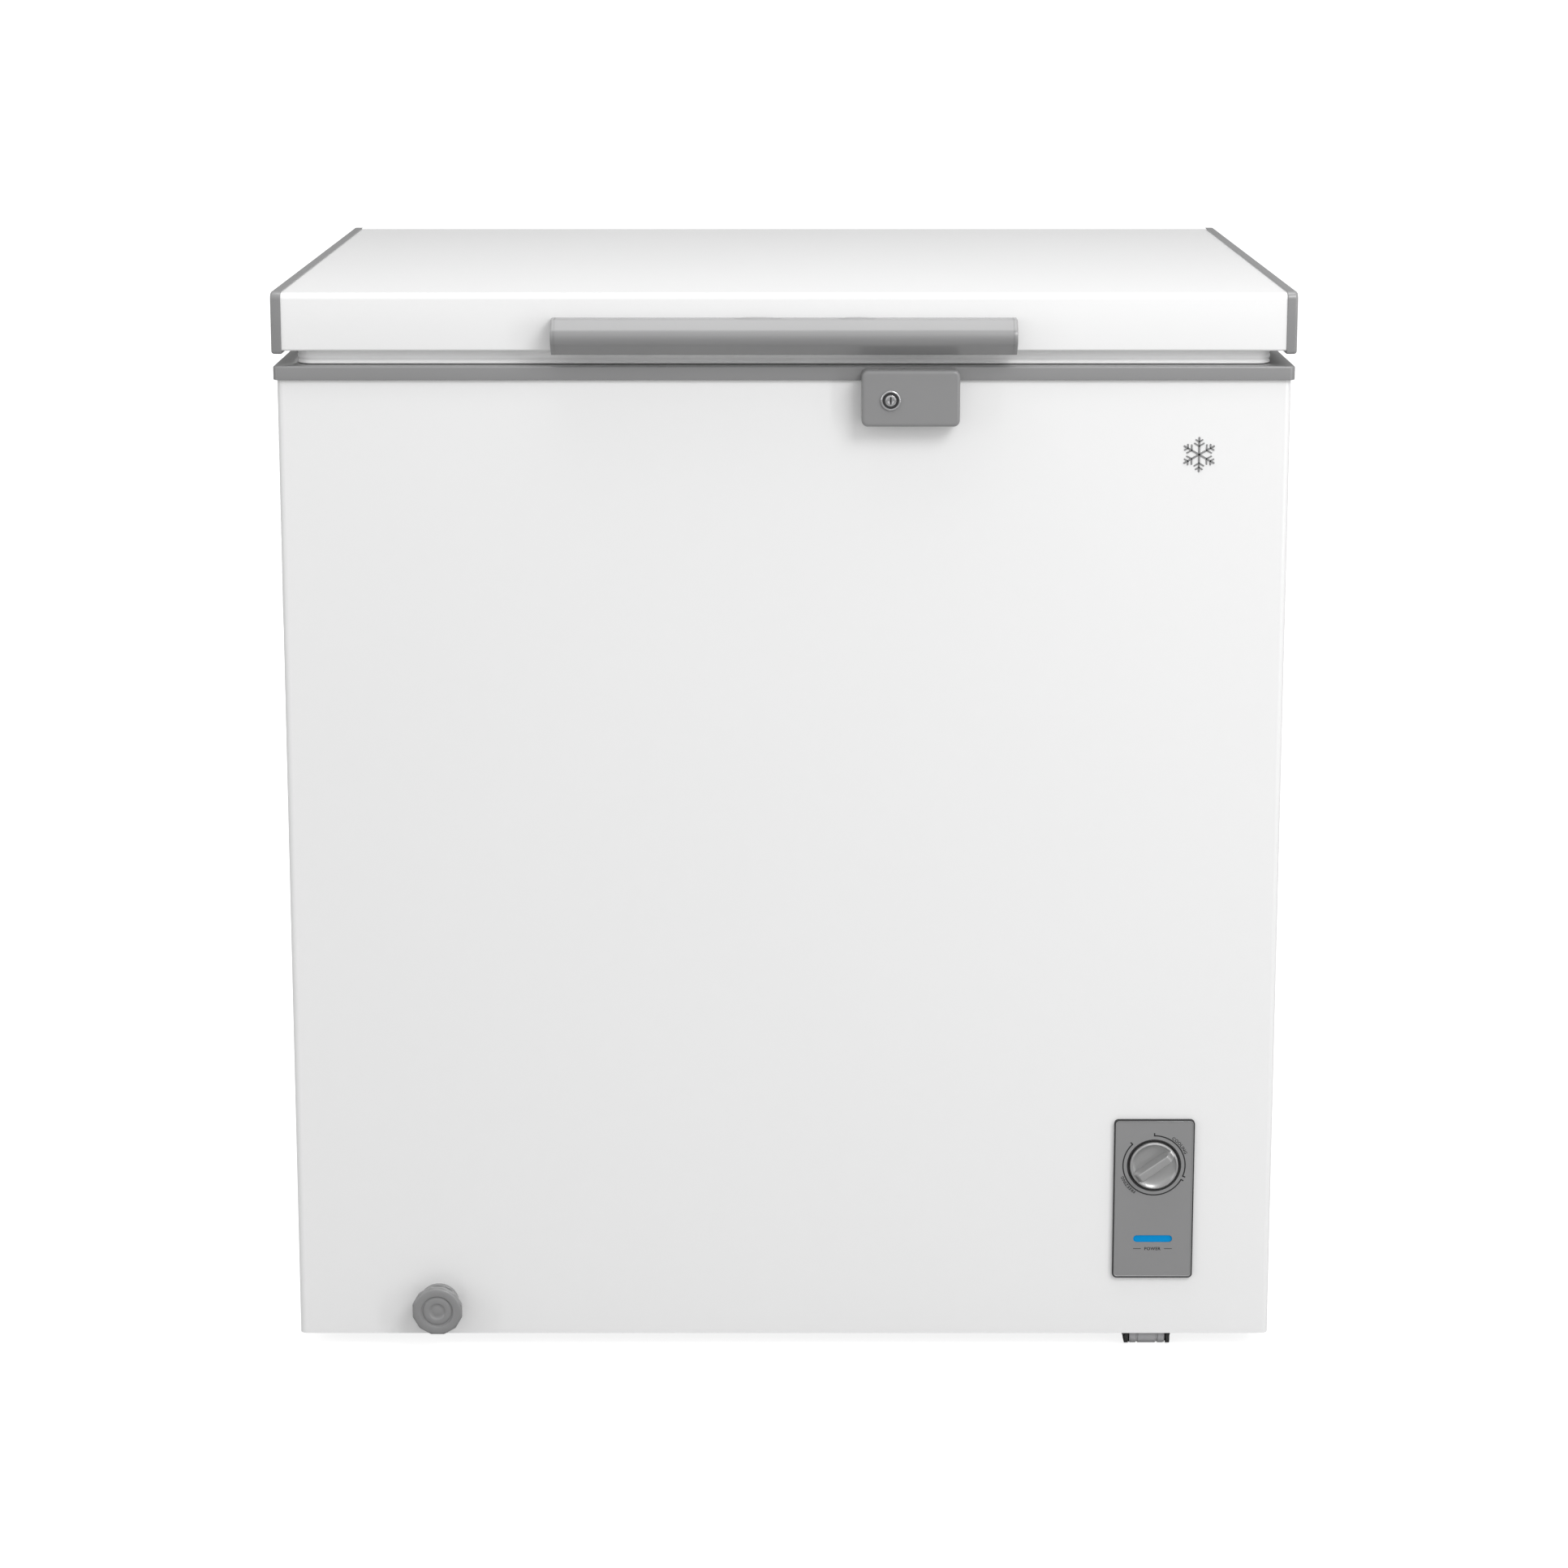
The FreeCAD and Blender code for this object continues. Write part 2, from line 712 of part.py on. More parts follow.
def lock_core():
    """Turning core with a tubular keyway, and the stud that carries the cam."""
    start = lock_front - 0.9
    core = rod(Vector(barrel_x, start, barrel_z), Y, cam_front - start, core_radius)
    keyway = ring(Vector(barrel_x, start - 1, barrel_z), Y, 5, 3.2, 2.0)
    notch = block(barrel_x - 0.6, barrel_x + 0.6, start - 1, start + 4, barrel_z + 2.6, barrel_z + 4.0)
    stud = rod(Vector(barrel_x, cam_front, barrel_z), Y, cam_sheet, 3.0)
    nut = rod(Vector(barrel_x, cam_front + cam_sheet, barrel_z), Y, 1.5, 4.6)
    return core.cut([keyway, notch]).fuse([stud, nut]).removeSplitter()


def lock_cam():
    """Hooked cam, lying level inside the housing when unlocked. It swings up behind the handle to lock."""
    half = cam_arm_width / 2
    back = cam_front + cam_sheet
    arm = block(barrel_x, barrel_x + cam_reach, cam_front, back, barrel_z - half, barrel_z + half)
    boss = rod(Vector(barrel_x, cam_front, barrel_z), Y, cam_sheet, half + 1.5)
    barb = block(
        barrel_x + cam_reach - cam_barb_height,
        barrel_x + cam_reach,
        cam_front,
        cam_front + cam_sheet,
        barrel_z,
        barrel_z + half + cam_barb,
    )
    hole = rod(Vector(barrel_x, cam_front - 1, barrel_z), Y, cam_sheet + 2, 3.0)
    return arm.fuse([boss, barb]).cut(hole).removeSplitter()


def lock_strike():
    """Angle bracket on the lid's front, inside the handle, that the cam hooks over."""
    right = barrel_x - cam_arm_width / 2 - 1.0
    left = right - 16.0
    back = lid_front
    low = lid_bottom + 0.6
    plate = block(left, right - 5, back - 1.5, back, low, low + 9.0)
    lip = block(left, right, cam_front - 1.5, back, low, strike_lip_top)
    return plate.fuse(lip).removeSplitter()


# ---------------------------------------------------------------------------------------------------------
# Drain
# ---------------------------------------------------------------------------------------------------------
def drain_route(y_end):
    """From the liner's floor down and forward to the cabinet's front."""
    return [(drain_x, drain_y, cavity_floor), (drain_x, drain_y, drain_z), (drain_x, y_end, drain_z)]


def drain_pipe_outside():
    """Outside of the hose, as a solid."""
    return bent_tube(drain_route(front), drain_bend, drain_pipe_radius)


def drain_pipe():
    """Hose moulded into the foam."""
    bore = bent_tube(drain_route(front), drain_bend, drain_bore)
    return drain_pipe_outside().cut(bore)


def drain_escutcheon():
    """Collar on the cabinet's front round the drain."""
    at = Vector(drain_x, front, drain_z)
    collar = ring(at, Y * -1, 3.0, drain_pipe_radius + 5, drain_bore + 0.5)
    rim = [
        e
        for e in collar.Edges
        if isinstance(e.Curve, Part.Circle)
        and abs(e.Curve.Center.y - (front - 3)) < 0.01
        and e.Curve.Radius > drain_pipe_radius
    ]
    return collar.makeFillet(1.2, rim)


def drain_spout():
    """Sliding outlet tube, pulled forward to drain."""
    tip = front - drain_cap_standoff - drain_cap_depth + 4
    return ring(
        Vector(drain_x, tip, drain_z), Y, front + 30 - tip, drain_bore - running_clearance, drain_bore - 2
    )


def drain_cap():
    """Round cap with grips round its rim and two rings on its face."""
    back = front - drain_cap_standoff
    face = back - drain_cap_depth
    at = Vector(drain_x, face, drain_z)
    body = rod(at, Y, drain_cap_depth, drain_cap_radius - 0.8)
    front_rim = [
        e for e in body.Edges if isinstance(e.Curve, Part.Circle) and abs(e.Curve.Center.y - face) < 0.01
    ]
    body = body.makeFillet(1.5, front_rim)
    grips = 8
    corners = []
    for n in range(grips):
        angle = math.radians(22.5 + 360.0 / grips * n)
        reach = drain_cap_radius + 0.2
        x, z = drain_x + reach * math.cos(angle), drain_z + reach * math.sin(angle)
        corners.append(Vector(x, back - 6, z))
    flange = Part.Face(Part.makePolygon(corners + corners[:1])).extrude(Y * 6)
    flange = flange.makeFillet(4.0, edges_along(flange, Y))
    body = body.fuse(flange)
    outer_ring = ring(at - Y, Y, 1.9, 13.2, 12.0)
    dish = rod(at - Y, Y, 1.8, 6.4)
    socket = rod(Vector(drain_x, face + 4 - contact_gap, drain_z), Y, 40, drain_bore + 0.4)
    hollow = ring(Vector(drain_x, face + 3, drain_z), Y, 40, drain_cap_radius - 3, drain_bore + 3)
    return body.cut([outer_ring, dish, socket, hollow]).removeSplitter()


def drain_stopper():
    """Plug in the liner's floor."""
    head = rod(Vector(drain_x, drain_y, cavity_floor + contact_gap), Z, 4, drain_pipe_radius + 5)
    top = cavity_floor + contact_gap + 4
    head = head.makeFillet(1.5, [e for e in head.Edges if abs(e.BoundBox.ZMin - top) < 0.01])
    stem = rod(Vector(drain_x, drain_y, cavity_floor - 8), Z, 9, drain_bore - 0.4)
    grip = block(drain_x - 8, drain_x + 8, drain_y - 1.5, drain_y + 1.5, cavity_floor + 4, cavity_floor + 12)
    return head.fuse([stem, grip]).removeSplitter()


# ---------------------------------------------------------------------------------------------------------
# Casters and feet
# ---------------------------------------------------------------------------------------------------------
def caster_bracket(y):
    """Plate under the base with a cheek on each side of the wheel."""
    half = caster_width / 2 + caster_side_gap
    outer = half + caster_side_sheet
    reach = caster_radius + 0.5
    cheek_top = max(pan_bottom, caster_z + caster_axle_radius + 3)
    wheel_gap = block(
        caster_centre_x - half, caster_centre_x + half, y - reach - 1, y + reach + 1, 0, pan_bottom + 1
    )
    plate = block(*caster_plate_box(y)).cut(wheel_gap)
    cheeks = []
    for x0 in (caster_centre_x - outer, caster_centre_x + half):
        cheek = block(x0, x0 + caster_side_sheet, y - reach, y + reach, 1.0, cheek_top)
        cheeks.append(cheek.makeFillet(6.0, edges_along(cheek, X, lambda p: p.z < 2)))
    return plate.fuse(cheeks).cut(caster_axle(y)).removeSplitter()


def caster_axle(y):
    """Riveted axle with a head on each side."""
    outer = caster_width / 2 + caster_side_gap + caster_side_sheet
    shaft = rod(Vector(caster_centre_x - outer, y, caster_z), X, 2 * outer, caster_axle_radius)
    heads = [
        rod(Vector(caster_centre_x - outer - 1.2, y, caster_z), X, 1.2, caster_axle_radius + 0.8),
        rod(Vector(caster_centre_x + outer, y, caster_z), X, 1.2, caster_axle_radius + 0.8),
    ]
    return shaft.fuse(heads).removeSplitter()


def caster_wheel(y):
    """Plain nylon roller."""
    start = Vector(caster_centre_x - caster_width / 2, y, caster_z)
    wheel = rod(start, X, caster_width, caster_radius)
    rims = [e for e in wheel.Edges if isinstance(e.Curve, Part.Circle)]
    wheel = wheel.makeFillet(1.0, rims)
    return wheel.cut(rod(start - X, X, caster_width + 2, caster_axle_radius + running_clearance))


def caster_screws():
    """Screws that hold the brackets under the base."""
    screws = []
    for y in caster_ys.values():
        towards = 1 if y < 0 else -1
        for step in (-12.0, 12.0):
            at = Vector(caster_centre_x + step, y + towards * (caster_radius + 10), pan_bottom - caster_plate)
            screws.append(screw(at, Z * -1))
    return Part.makeCompound(screws)


def foot_places():
    x = -half_width + foot_inset
    return [Vector(x, front + foot_setback, 0), Vector(x, rear - foot_setback, 0)]


def foot_pads():
    """Moulded feet under the left-hand end."""
    feet = []
    for at in foot_places():
        foot = Part.makeCone(foot_radius, foot_radius + 3, pan_bottom, at, Z)
        circles = [e for e in foot.Edges if isinstance(e.Curve, Part.Circle)]
        feet.append(foot.makeFillet(1.5, [e for e in circles if abs(e.Curve.Center.z) < 0.01]))
    return Part.makeCompound(feet)


# ---------------------------------------------------------------------------------------------------------
# Refrigeration circuit
# ---------------------------------------------------------------------------------------------------------
def evaporator_coil():
    """Tube wound round the liner inside the foam, one loop there and the next one back."""
    off = liner_sheet + evaporator_tube + 0.2
    left, right = cavity_left - off, cavity_right + off
    near, far = cavity_front - off, cavity_rear + off
    low = step_top + 40.0
    high = plate_under - evaporator_top_margin
    pitch = (high - low) / (evaporator_loops - 1)
    slab_x = (step_left + bay_left) / 2
    riser_a, riser_b = slab_x - 75.0, slab_x + 20.0
    y_in, z_in = capillary_hole
    points = [(bay_left, y_in, z_in), (slab_x, y_in, z_in), (slab_x, far, z_in), (riser_a, far, z_in)]
    for n in range(evaporator_loops):
        z = low + n * pitch
        turn = [(left, far, z), (left, near, z), (right, near, z), (right, far, z)]
        start, end = (riser_a, riser_b) if n % 2 == 0 else (riser_b, riser_a)
        points.append((start, far, z))
        points.extend(turn if n % 2 == 0 else turn[::-1])
        if n < evaporator_loops - 1:
            points.append((end, far, z))
    y_out, z_out = suction_hole
    points += [(slab_x, far, high), (slab_x, far, z_out), (slab_x, y_out, z_out), (bay_left, y_out, z_out)]
    return bent_tube(points, tube_bend, evaporator_tube)


def condenser_coil():
    """Tube taped inside the front, left and back sheets, in rising runs."""
    off = condenser_tube + 0.2
    left = inside_left + off
    near, far = inside_front + off, inside_rear - off
    y_in, z_in = discharge_hole
    y_out, z_out = liquid_hole
    slab_x = (step_left + bay_left) / 2
    riser_x = slab_x - 45.0
    high = plate_under - 60.0
    pitch = (high - z_in) / (condenser_runs - 1)
    points = [(bay_left, y_in, z_in), (slab_x, y_in, z_in), (slab_x, near, z_in)]
    for n in range(condenser_runs):
        z = z_in + n * pitch
        run = [(left, near, z), (left, far, z)]
        start, end = (near, far) if n % 2 == 0 else (far, near)
        if n:
            points.append((riser_x, start, z))
        points.extend(run if n % 2 == 0 else run[::-1])
        if n < condenser_runs - 1:
            points.append((riser_x, end, z))
    points += [(slab_x, near, high), (slab_x, near, z_out), (slab_x, y_out, z_out), (bay_left, y_out, z_out)]
    return bent_tube(points, tube_bend, condenser_tube)


compressor_x = (bay_left + inside_right) / 2
compressor_y = rear - 118.0
mount_height = 16.0
compressor_plate = 3.0
compressor_base = pan_top + mount_height + compressor_plate


def can(radius, z0, z1, edge):
    """Upright can with rounded ends."""
    shape = rod(Vector(compressor_x, compressor_y, z0), Z, z1 - z0, radius)
    rims = [e for e in shape.Edges if isinstance(e.Curve, Part.Circle)]
    return shape.makeFillet(edge, rims)


def compressor_shell():
    """Welded steel can."""
    top = compressor_base + compressor_height
    outer = can(compressor_radius, compressor_base, top, 28.0)
    seam = rod(Vector(compressor_x, compressor_y, compressor_base + 62), Z, 5, compressor_radius + 2.5)
    inner = can(
        compressor_radius - compressor_sheet,
        compressor_base + compressor_sheet,
        top - compressor_sheet,
        28.0 - compressor_sheet,
    )
    return outer.fuse(seam).cut(inner).removeSplitter()


def compressor_motor():
    """Motor and pump block standing in the can."""
    return can(44.0, compressor_base + compressor_sheet, compressor_base + 92, 6.0)


def mount_places():
    """Where the four rubber mounts stand on the base."""
    reach = compressor_radius - 6.0
    return [
        Vector(compressor_x + dx, compressor_y + dy, pan_top)
        for dx in (-reach, reach)
        for dy in (-reach, reach)
    ]


def compressor_mount_plate():
    """Pressed plate welded under the can."""
    z0 = pan_top + mount_height
    half = compressor_radius + 8.0
    plate = slab(
        compressor_x - half, compressor_x + half, compressor_y - half, compressor_y + half,
        z0, z0 + compressor_plate, 14,
    )
    holes = [rod(p, Z, 60, 7.0) for p in mount_places()]
    return plate.cut(holes)


def compressor_grommets():
    """Rubber mounts with a waist that holds the plate."""
    z0 = pan_top + mount_height
    made = []
    for p in mount_places():
        lower = rod(p, Z, mount_height, 11.0)
        waist = rod(Vector(p.x, p.y, z0), Z, compressor_plate, 7.0)
        upper = rod(Vector(p.x, p.y, z0 + compressor_plate), Z, 5.0, 10.0)
        made.append(lower.fuse([waist, upper]).cut(rod(p, Z, 60, 4.0)).removeSplitter())
    return Part.makeCompound(made)


def compressor_bolts():
    """Studs through the rubber mounts."""
    length = mount_height + compressor_plate + 5.0
    made = []
    for p in mount_places():
        stud = rod(p, Z, length, 4.0)
        washer = rod(Vector(p.x, p.y, p.z + length), Z, 2.0, 9.0)
        nut = rod(Vector(p.x, p.y, p.z + length + 2.0), Z, 5.0, 6.0)
        made.append(stud.fuse([washer, nut]).removeSplitter())
    return Part.makeCompound(made)


def terminal_cover():
    """Cover of the start relay on the can's front side."""
    y1 = compressor_y - compressor_radius + 6
    z0 = compressor_base + 30
    box = block(compressor_x - 28, compressor_x + 28, y1 - 34, y1, z0, z0 + 56)
    box = box.makeFillet(4.0, edges_along(box, Z))
    return box.cut(rod(Vector(compressor_x, compressor_y, z0 - 50), Z, 200, compressor_radius + 2.5))


def tube_to_compressor(hole, angle, height, lane, bend, radius):
    """Copper tube from the bulkhead down a lane beside it, then to the can's side at an angle in plan."""
    y, z = hole
    out = Vector(math.cos(math.radians(angle)), math.sin(math.radians(angle)), 0)
    centre = Vector(compressor_x, compressor_y, compressor_base + height)
    port = centre + out * compressor_radius
    knee = centre + out * (compressor_radius + 18.0)
    points = [
        (bay_left, y, z),
        (bay_left + lane, y, z),
        (bay_left + lane, y, knee.z),
        (knee.x, knee.y, knee.z),
        (port.x, port.y, port.z),
    ]
    return bent_tube(points, bend, radius)


def discharge_tube():
    """Hot gas, compressor to condenser."""
    return tube_to_compressor(discharge_hole, -120.0, 46.0, 34.0, 8.0, condenser_tube)


def suction_tube():
    """Cold gas, evaporator to compressor."""
    return tube_to_compressor(suction_hole, -150.0, 100.0, 15.0, 6.0, evaporator_tube)


def filter_drier():
    """Copper drier between the condenser and the capillary."""
    y, z = liquid_hole
    x = bay_left + 34
    low, high = z - 110.0, z - 30.0
    shell = rod(Vector(x, y, low), Z, high - low, 9.5)
    rims = [e for e in shell.Edges if isinstance(e.Curve, Part.Circle)]
    shell = shell.makeFillet(6.5, rims)
    inlet = bent_tube([(bay_left, y, z), (x, y, z), (x, y, high - 2)], 10.0, condenser_tube)
    return shell.fuse(inlet).removeSplitter()


def capillary_tube():
    """Thin tube from the drier to the evaporator."""
    y0, z0 = liquid_hole
    y1, z1 = capillary_hole
    x = bay_left + 34
    points = [
        (x, y0, z0 - 110.0),
        (x, y0, z0 - 128.0),
        (x + 40, y0 + 10, z0 - 120.0),
        (x + 40, y1 - 60, z1 - 40.0),
        (x, y1 - 20, z1),
        (x - 14, y1, z1),
        (bay_left, y1, z1),
    ]
    return bent_tube(points, 6.0, 1.2)


# ---------------------------------------------------------------------------------------------------------
# Lid
# ---------------------------------------------------------------------------------------------------------
def lid_section(inset, z0, z1):
    """Long block of the lid's outline, with its top front and top rear edges rounded."""
    shape = block(-lid_half, lid_half, lid_front + inset, rear - inset, z0, z1)
    return shape.makeFillet(lid_sheet_radius - inset, edges_along(shape, X, lambda p: p.z > z1 - 0.01))


def lid_sheet():
    """Painted sheet folded over the front, top and back, with hems turned in below."""
    outer = lid_section(0, lid_bottom, lid_top)
    inner = lid_section(sheet, gasket_top, lid_top - sheet)
    between_hems = block(
        -lid_half - 1, lid_half + 1, lid_front + lid_hem, rear - lid_hem, lid_bottom - 1, gasket_top + 1
    )
    return outer.cut([inner, between_hems])


def lid_plug(inset, z0, z1):
    """Block of the raised panel that reaches into the mouth."""
    gap = lid_plug_gap + inset
    return slab(
        mouth_left + gap,
        mouth_right - gap,
        mouth_front + gap,
        mouth_rear - gap,
        z0,
        z1,
        lid_plug_corner - inset,
    )


plug_bottom = trim_top - lid_plug_depth


def lid_liner():
    """Moulded inner panel: a flat border that carries the gasket, and a raised middle."""
    border_top = gasket_top + lid_liner_sheet
    border = block(-lid_half, lid_half, lid_front + sheet, rear - sheet, gasket_top, border_top)
    plug = lid_plug(0, plug_bottom, gasket_top)
    plug = plug.makeFillet(4.0, edges_where(plug, lambda p: p.z < plug_bottom + 0.01))
    hollow = lid_plug(lid_liner_sheet, plug_bottom + lid_liner_sheet, border_top + 1)
    return border.fuse(plug).cut(hollow).removeSplitter()


def lid_foam():
    """Foam that fills the lid."""
    border_top = gasket_top + lid_liner_sheet
    upper = lid_section(sheet, border_top, lid_top - sheet)
    lower = lid_plug(lid_liner_sheet, plug_bottom + lid_liner_sheet, border_top)
    return upper.fuse(lower).removeSplitter()


def lid_gasket():
    """Soft seal with one fold, clipped under the lid's border."""
    side = overall_width / 2 - gasket_side_inset
    low = trim_top + contact_gap

    def loop(shrink, z0, z1):
        outer = slab(
            -side + shrink, side - shrink, lid_front + lid_hem + shrink, rear - lid_hem - shrink, z0, z1,
            gasket_corner - shrink,
        )
        width = gasket_width - shrink
        inner = slab(
            -side + width, side - width, lid_front + lid_hem + width, rear - lid_hem - width,
            z0 - 1, z1 + 1, 4.0,
        )
        return outer.cut(inner)

    fold_low, fold_high = low + 3.0, low + 5.0
    head = loop(0, fold_high, gasket_top)
    waist = loop(gasket_fold, fold_low, fold_high)
    foot = loop(0, low, fold_low)
    return head.fuse([waist, foot]).removeSplitter()


def lid_end_cap():
    """Right-hand moulding that closes the lid's end."""
    x0, x1 = lid_half, overall_width / 2
    cap = block(x0, x1, lid_front - cap_proud + 0.2, rear + 1.0, lid_bottom - cap_drop, overall_height)
    cap = cap.makeFillet(5.0, edges_along(cap, X, lambda p: p.z > overall_height - 0.01))
    outside = edges_where(cap, lambda p: p.x > x1 - 0.01)
    return cap.makeFillet(2.2, outside)


def handle_point(reach, drop):
    """A point of the handle's section: reach in front of the lid's sheet, drop below the handle's top."""
    return Vector(0, lid_front - reach, handle_base + handle_height - drop)


def handle_section(wall_thickness):
    """Face of the handle's section, drawn in by a wall thickness on its top and front."""
    t = wall_thickness
    back_top = handle_point(0, t)
    edge_top = handle_point(13.0 - t * 0.4, t)
    crest = handle_point(handle_projection - t, 13.5)
    foot_front = handle_point(18.5 - t, handle_height)
    foot_back = handle_point(0, handle_height)
    edges = [
        Part.makeLine(back_top, edge_top),
        Part.Arc(edge_top, crest, foot_front).toShape(),
        Part.makeLine(foot_front, foot_back),
        Part.makeLine(foot_back, back_top),
    ]
    return Part.Face(Part.Wire(edges))


def handle():
    """Long grip with a convex front, open below for the fingers, with a flange on the lid."""
    half = handle_width / 2
    outer = handle_section(0).extrude(X * handle_width)
    outer.translate(X * -half)
    inner = handle_section(handle_wall).extrude(X * (handle_width - 2 * handle_wall))
    inner.translate(X * -(half - handle_wall))
    flange = block(
        -half + handle_wall,
        half - handle_wall,
        lid_front - 2.2,
        lid_front,
        handle_base + 11.0,
        handle_base + handle_height - handle_wall,
    )
    return outer.cut(inner).fuse(flange).removeSplitter()


def handle_screws():
    """Screws inside the handle."""
    z = handle_base + 18.0
    reach = handle_width / 2 - 26.0
    return Part.makeCompound(
        [screw(Vector(x, lid_front - 2.2, z), Y * -1) for x in (-reach, 0.0, reach)]
    )


# ---------------------------------------------------------------------------------------------------------
# Hinges
# ---------------------------------------------------------------------------------------------------------
def hinge_centres():
    return [-half_width + hinge_inset, half_width - hinge_inset]


def at_both_hinges(piece):
    """A hinge's piece made at each of the two hinges, in one shape."""
    return Part.makeCompound([piece(x) for x in hinge_centres()])


def hinge_base(cx):
    """Channel on the cabinet's back that holds the pin."""
    half = hinge_width / 2
    top = hinge_axis_z - hinge_leaf_ear_radius - 4.0
    low = top - hinge_plate_height
    plate = block(cx - half, cx + half, rear, rear + hinge_sheet, low, top)
    ears = []
    for x0 in (cx - half, cx + half - hinge_sheet):
        outline = [
            (rear, low),
            (rear + hinge_sheet + 1, low),
            (hinge_axis_y + hinge_ear_radius, hinge_axis_z - 30),
            (hinge_axis_y + hinge_ear_radius, hinge_axis_z),
            (hinge_axis_y - hinge_ear_radius + 0.5, hinge_axis_z),
            (rear, hinge_axis_z - 6),
        ]
        blade = prism_x(outline, x0, x0 + hinge_sheet)
        eye = rod(Vector(x0, hinge_axis_y, hinge_axis_z), X, hinge_sheet, hinge_ear_radius)
        hole = rod(Vector(x0 - 1, hinge_axis_y, hinge_axis_z), X, hinge_sheet + 2, hinge_pin_radius)
        behind = block(x0 - 1, x0 + 5, rear - 20, rear, low - 1, hinge_axis_z + 20)
        ears.append(blade.fuse(eye).cut([hole, behind]))
    return plate.fuse(ears).removeSplitter()


def hinge_leaf(cx):
    """Bracket on the lid's back that swings on the pin."""
    half = hinge_leaf_width / 2
    low = lid_bottom + 3.0
    top = lid_top - 6.0
    plate = block(cx - half, cx + half, rear, rear + hinge_sheet, low, top)
    ears = []
    for x0 in (cx - half, cx + half - hinge_sheet):
        outline = [
            (rear, top - 4),
            (rear, low),
            (hinge_axis_y - hinge_leaf_ear_radius, hinge_axis_z),
            (hinge_axis_y + hinge_leaf_ear_radius, hinge_axis_z),
            (rear + hinge_sheet, top - 4),
        ]
        blade = prism_x(outline, x0, x0 + hinge_sheet)
        eye = rod(Vector(x0, hinge_axis_y, hinge_axis_z), X, hinge_sheet, hinge_leaf_ear_radius)
        bore = hinge_pin_radius + running_clearance
        hole = rod(Vector(x0 - 1, hinge_axis_y, hinge_axis_z), X, hinge_sheet + 2, bore)
        ears.append(blade.fuse(eye).cut(hole))
    return plate.fuse(ears).removeSplitter()


def hinge_pin(cx):
    """Pin riveted in the base's ears."""
    return rod(Vector(cx - hinge_width / 2, hinge_axis_y, hinge_axis_z), X, hinge_width, hinge_pin_radius)


def hinge_spring(cx):
    """Torsion spring round the pin, with one leg down the base and one up the leaf."""
    wire = 0.9
    plate_gap = hinge_projection - hinge_ear_radius - hinge_sheet
    radius = max(plate_gap - wire - 0.1, hinge_pin_radius + wire + 0.2)
    turns = 10
    pitch = 2 * wire + 0.3
    length = turns * pitch
    helix = Part.makeHelix(pitch, length, radius)
    section = Part.Wire(Part.makeCircle(wire, Vector(radius, 0, 0), Y))
    coil = helix.makePipeShell([section], True, True)
    leg = 16.0
    down = rod(Vector(radius, -leg, 0), Y, leg, wire)
    up = rod(Vector(radius, 0, length), Y, leg, wire)
    spring = coil.fuse([down, up])
    spring.rotate(Vector(0, 0, 0), Y, -90)
    spring.rotate(Vector(0, 0, 0), X, 90)
    spring.translate(Vector(cx + length / 2, hinge_axis_y, hinge_axis_z))
    return spring


def hinge_screws_base():
    z0 = hinge_axis_z - hinge_leaf_ear_radius - 4.0 - hinge_plate_height
    return Part.makeCompound(
        [
            screw(Vector(cx + dx, rear + hinge_sheet, z0 + dz), Y)
            for cx in hinge_centres()
            for dx in (-14, 14)
            for dz in (16, 52)
        ]
    )


def hinge_screws_leaf():
    z = (lid_bottom + 3.0 + lid_top - 6.0) / 2 + 2
    return Part.makeCompound(
        [
            screw(Vector(cx + dx, rear + hinge_sheet, z), Y)
            for cx in hinge_centres()
            for dx in (-11, 11)
        ]
    )


# ---------------------------------------------------------------------------------------------------------
# Basket
# ---------------------------------------------------------------------------------------------------------
basket_left = mouth_left + ledge_reach + basket_side_gap
basket_right = basket_left + basket_width
basket_front = mouth_front + ledge_reach + basket_side_gap
basket_rear = mouth_rear - ledge_reach - basket_side_gap
hook_z = ledge_top + contact_gap + rim_wire
rim_z = hook_z
basket_floor = rim_z - basket_height


def spread(low, high, pitch):
    """Evenly spaced places strictly between two ends, about a pitch apart."""
    count = max(2, round((high - low) / pitch))
    step = (high - low) / count
    return [low + n * step for n in range(1, count)]


def basket_frame():
    """Rim of thick wire, with four hooks that rest on the ledge."""
    r = rim_wire
    x0, x1, y0, y1 = basket_left + r, basket_right - r, basket_front + r, basket_rear - r
    long_sides = [rod(Vector(x, y0 - r, rim_z), Y, y1 - y0 + 2 * r, r) for x in (x0, x1)]
    short_sides = [rod(Vector(x0 + r, y, rim_z), X, x1 - x0 - 2 * r, r) for y in (y0, y1)]
    hooks = []
    reach = ledge_reach + basket_side_gap - 2.0
    for x in (x0 + 46, x1 - 46):
        hooks.append(rod(Vector(x, y0 - r, rim_z), Y * -1, reach, r))
        hooks.append(rod(Vector(x, y1 + r, rim_z), Y, reach, r))
    return Part.makeCompound(long_sides + short_sides + hooks)


def basket_wires():
    """Welded mesh of the basket's sides and floor, in straight pieces that touch."""
    m = mesh_wire
    x0, x1 = basket_left + 2 * rim_wire + m, basket_right - 2 * rim_wire - m
    y0, y1 = basket_front + 2 * rim_wire + m, basket_rear - 2 * rim_wire - m
    top = rim_z - rim_wire
    height = top - basket_floor
    wires = []
    for x in spread(x0, x1, mesh_pitch):
        wires.append(rod(Vector(x, y0, basket_floor - m), Y, y1 - y0, m))
        for y in (basket_front + rim_wire, basket_rear - rim_wire):
            wires.append(rod(Vector(x, y, basket_floor), Z, height, m))
    for y in spread(y0, y1, mesh_pitch):
        wires.append(rod(Vector(x0, y, basket_floor + m), X, x1 - x0, m))
        for x in (basket_left + rim_wire, basket_right - rim_wire):
            wires.append(rod(Vector(x, y, basket_floor), Z, height, m))
    return Part.makeCompound(wires)


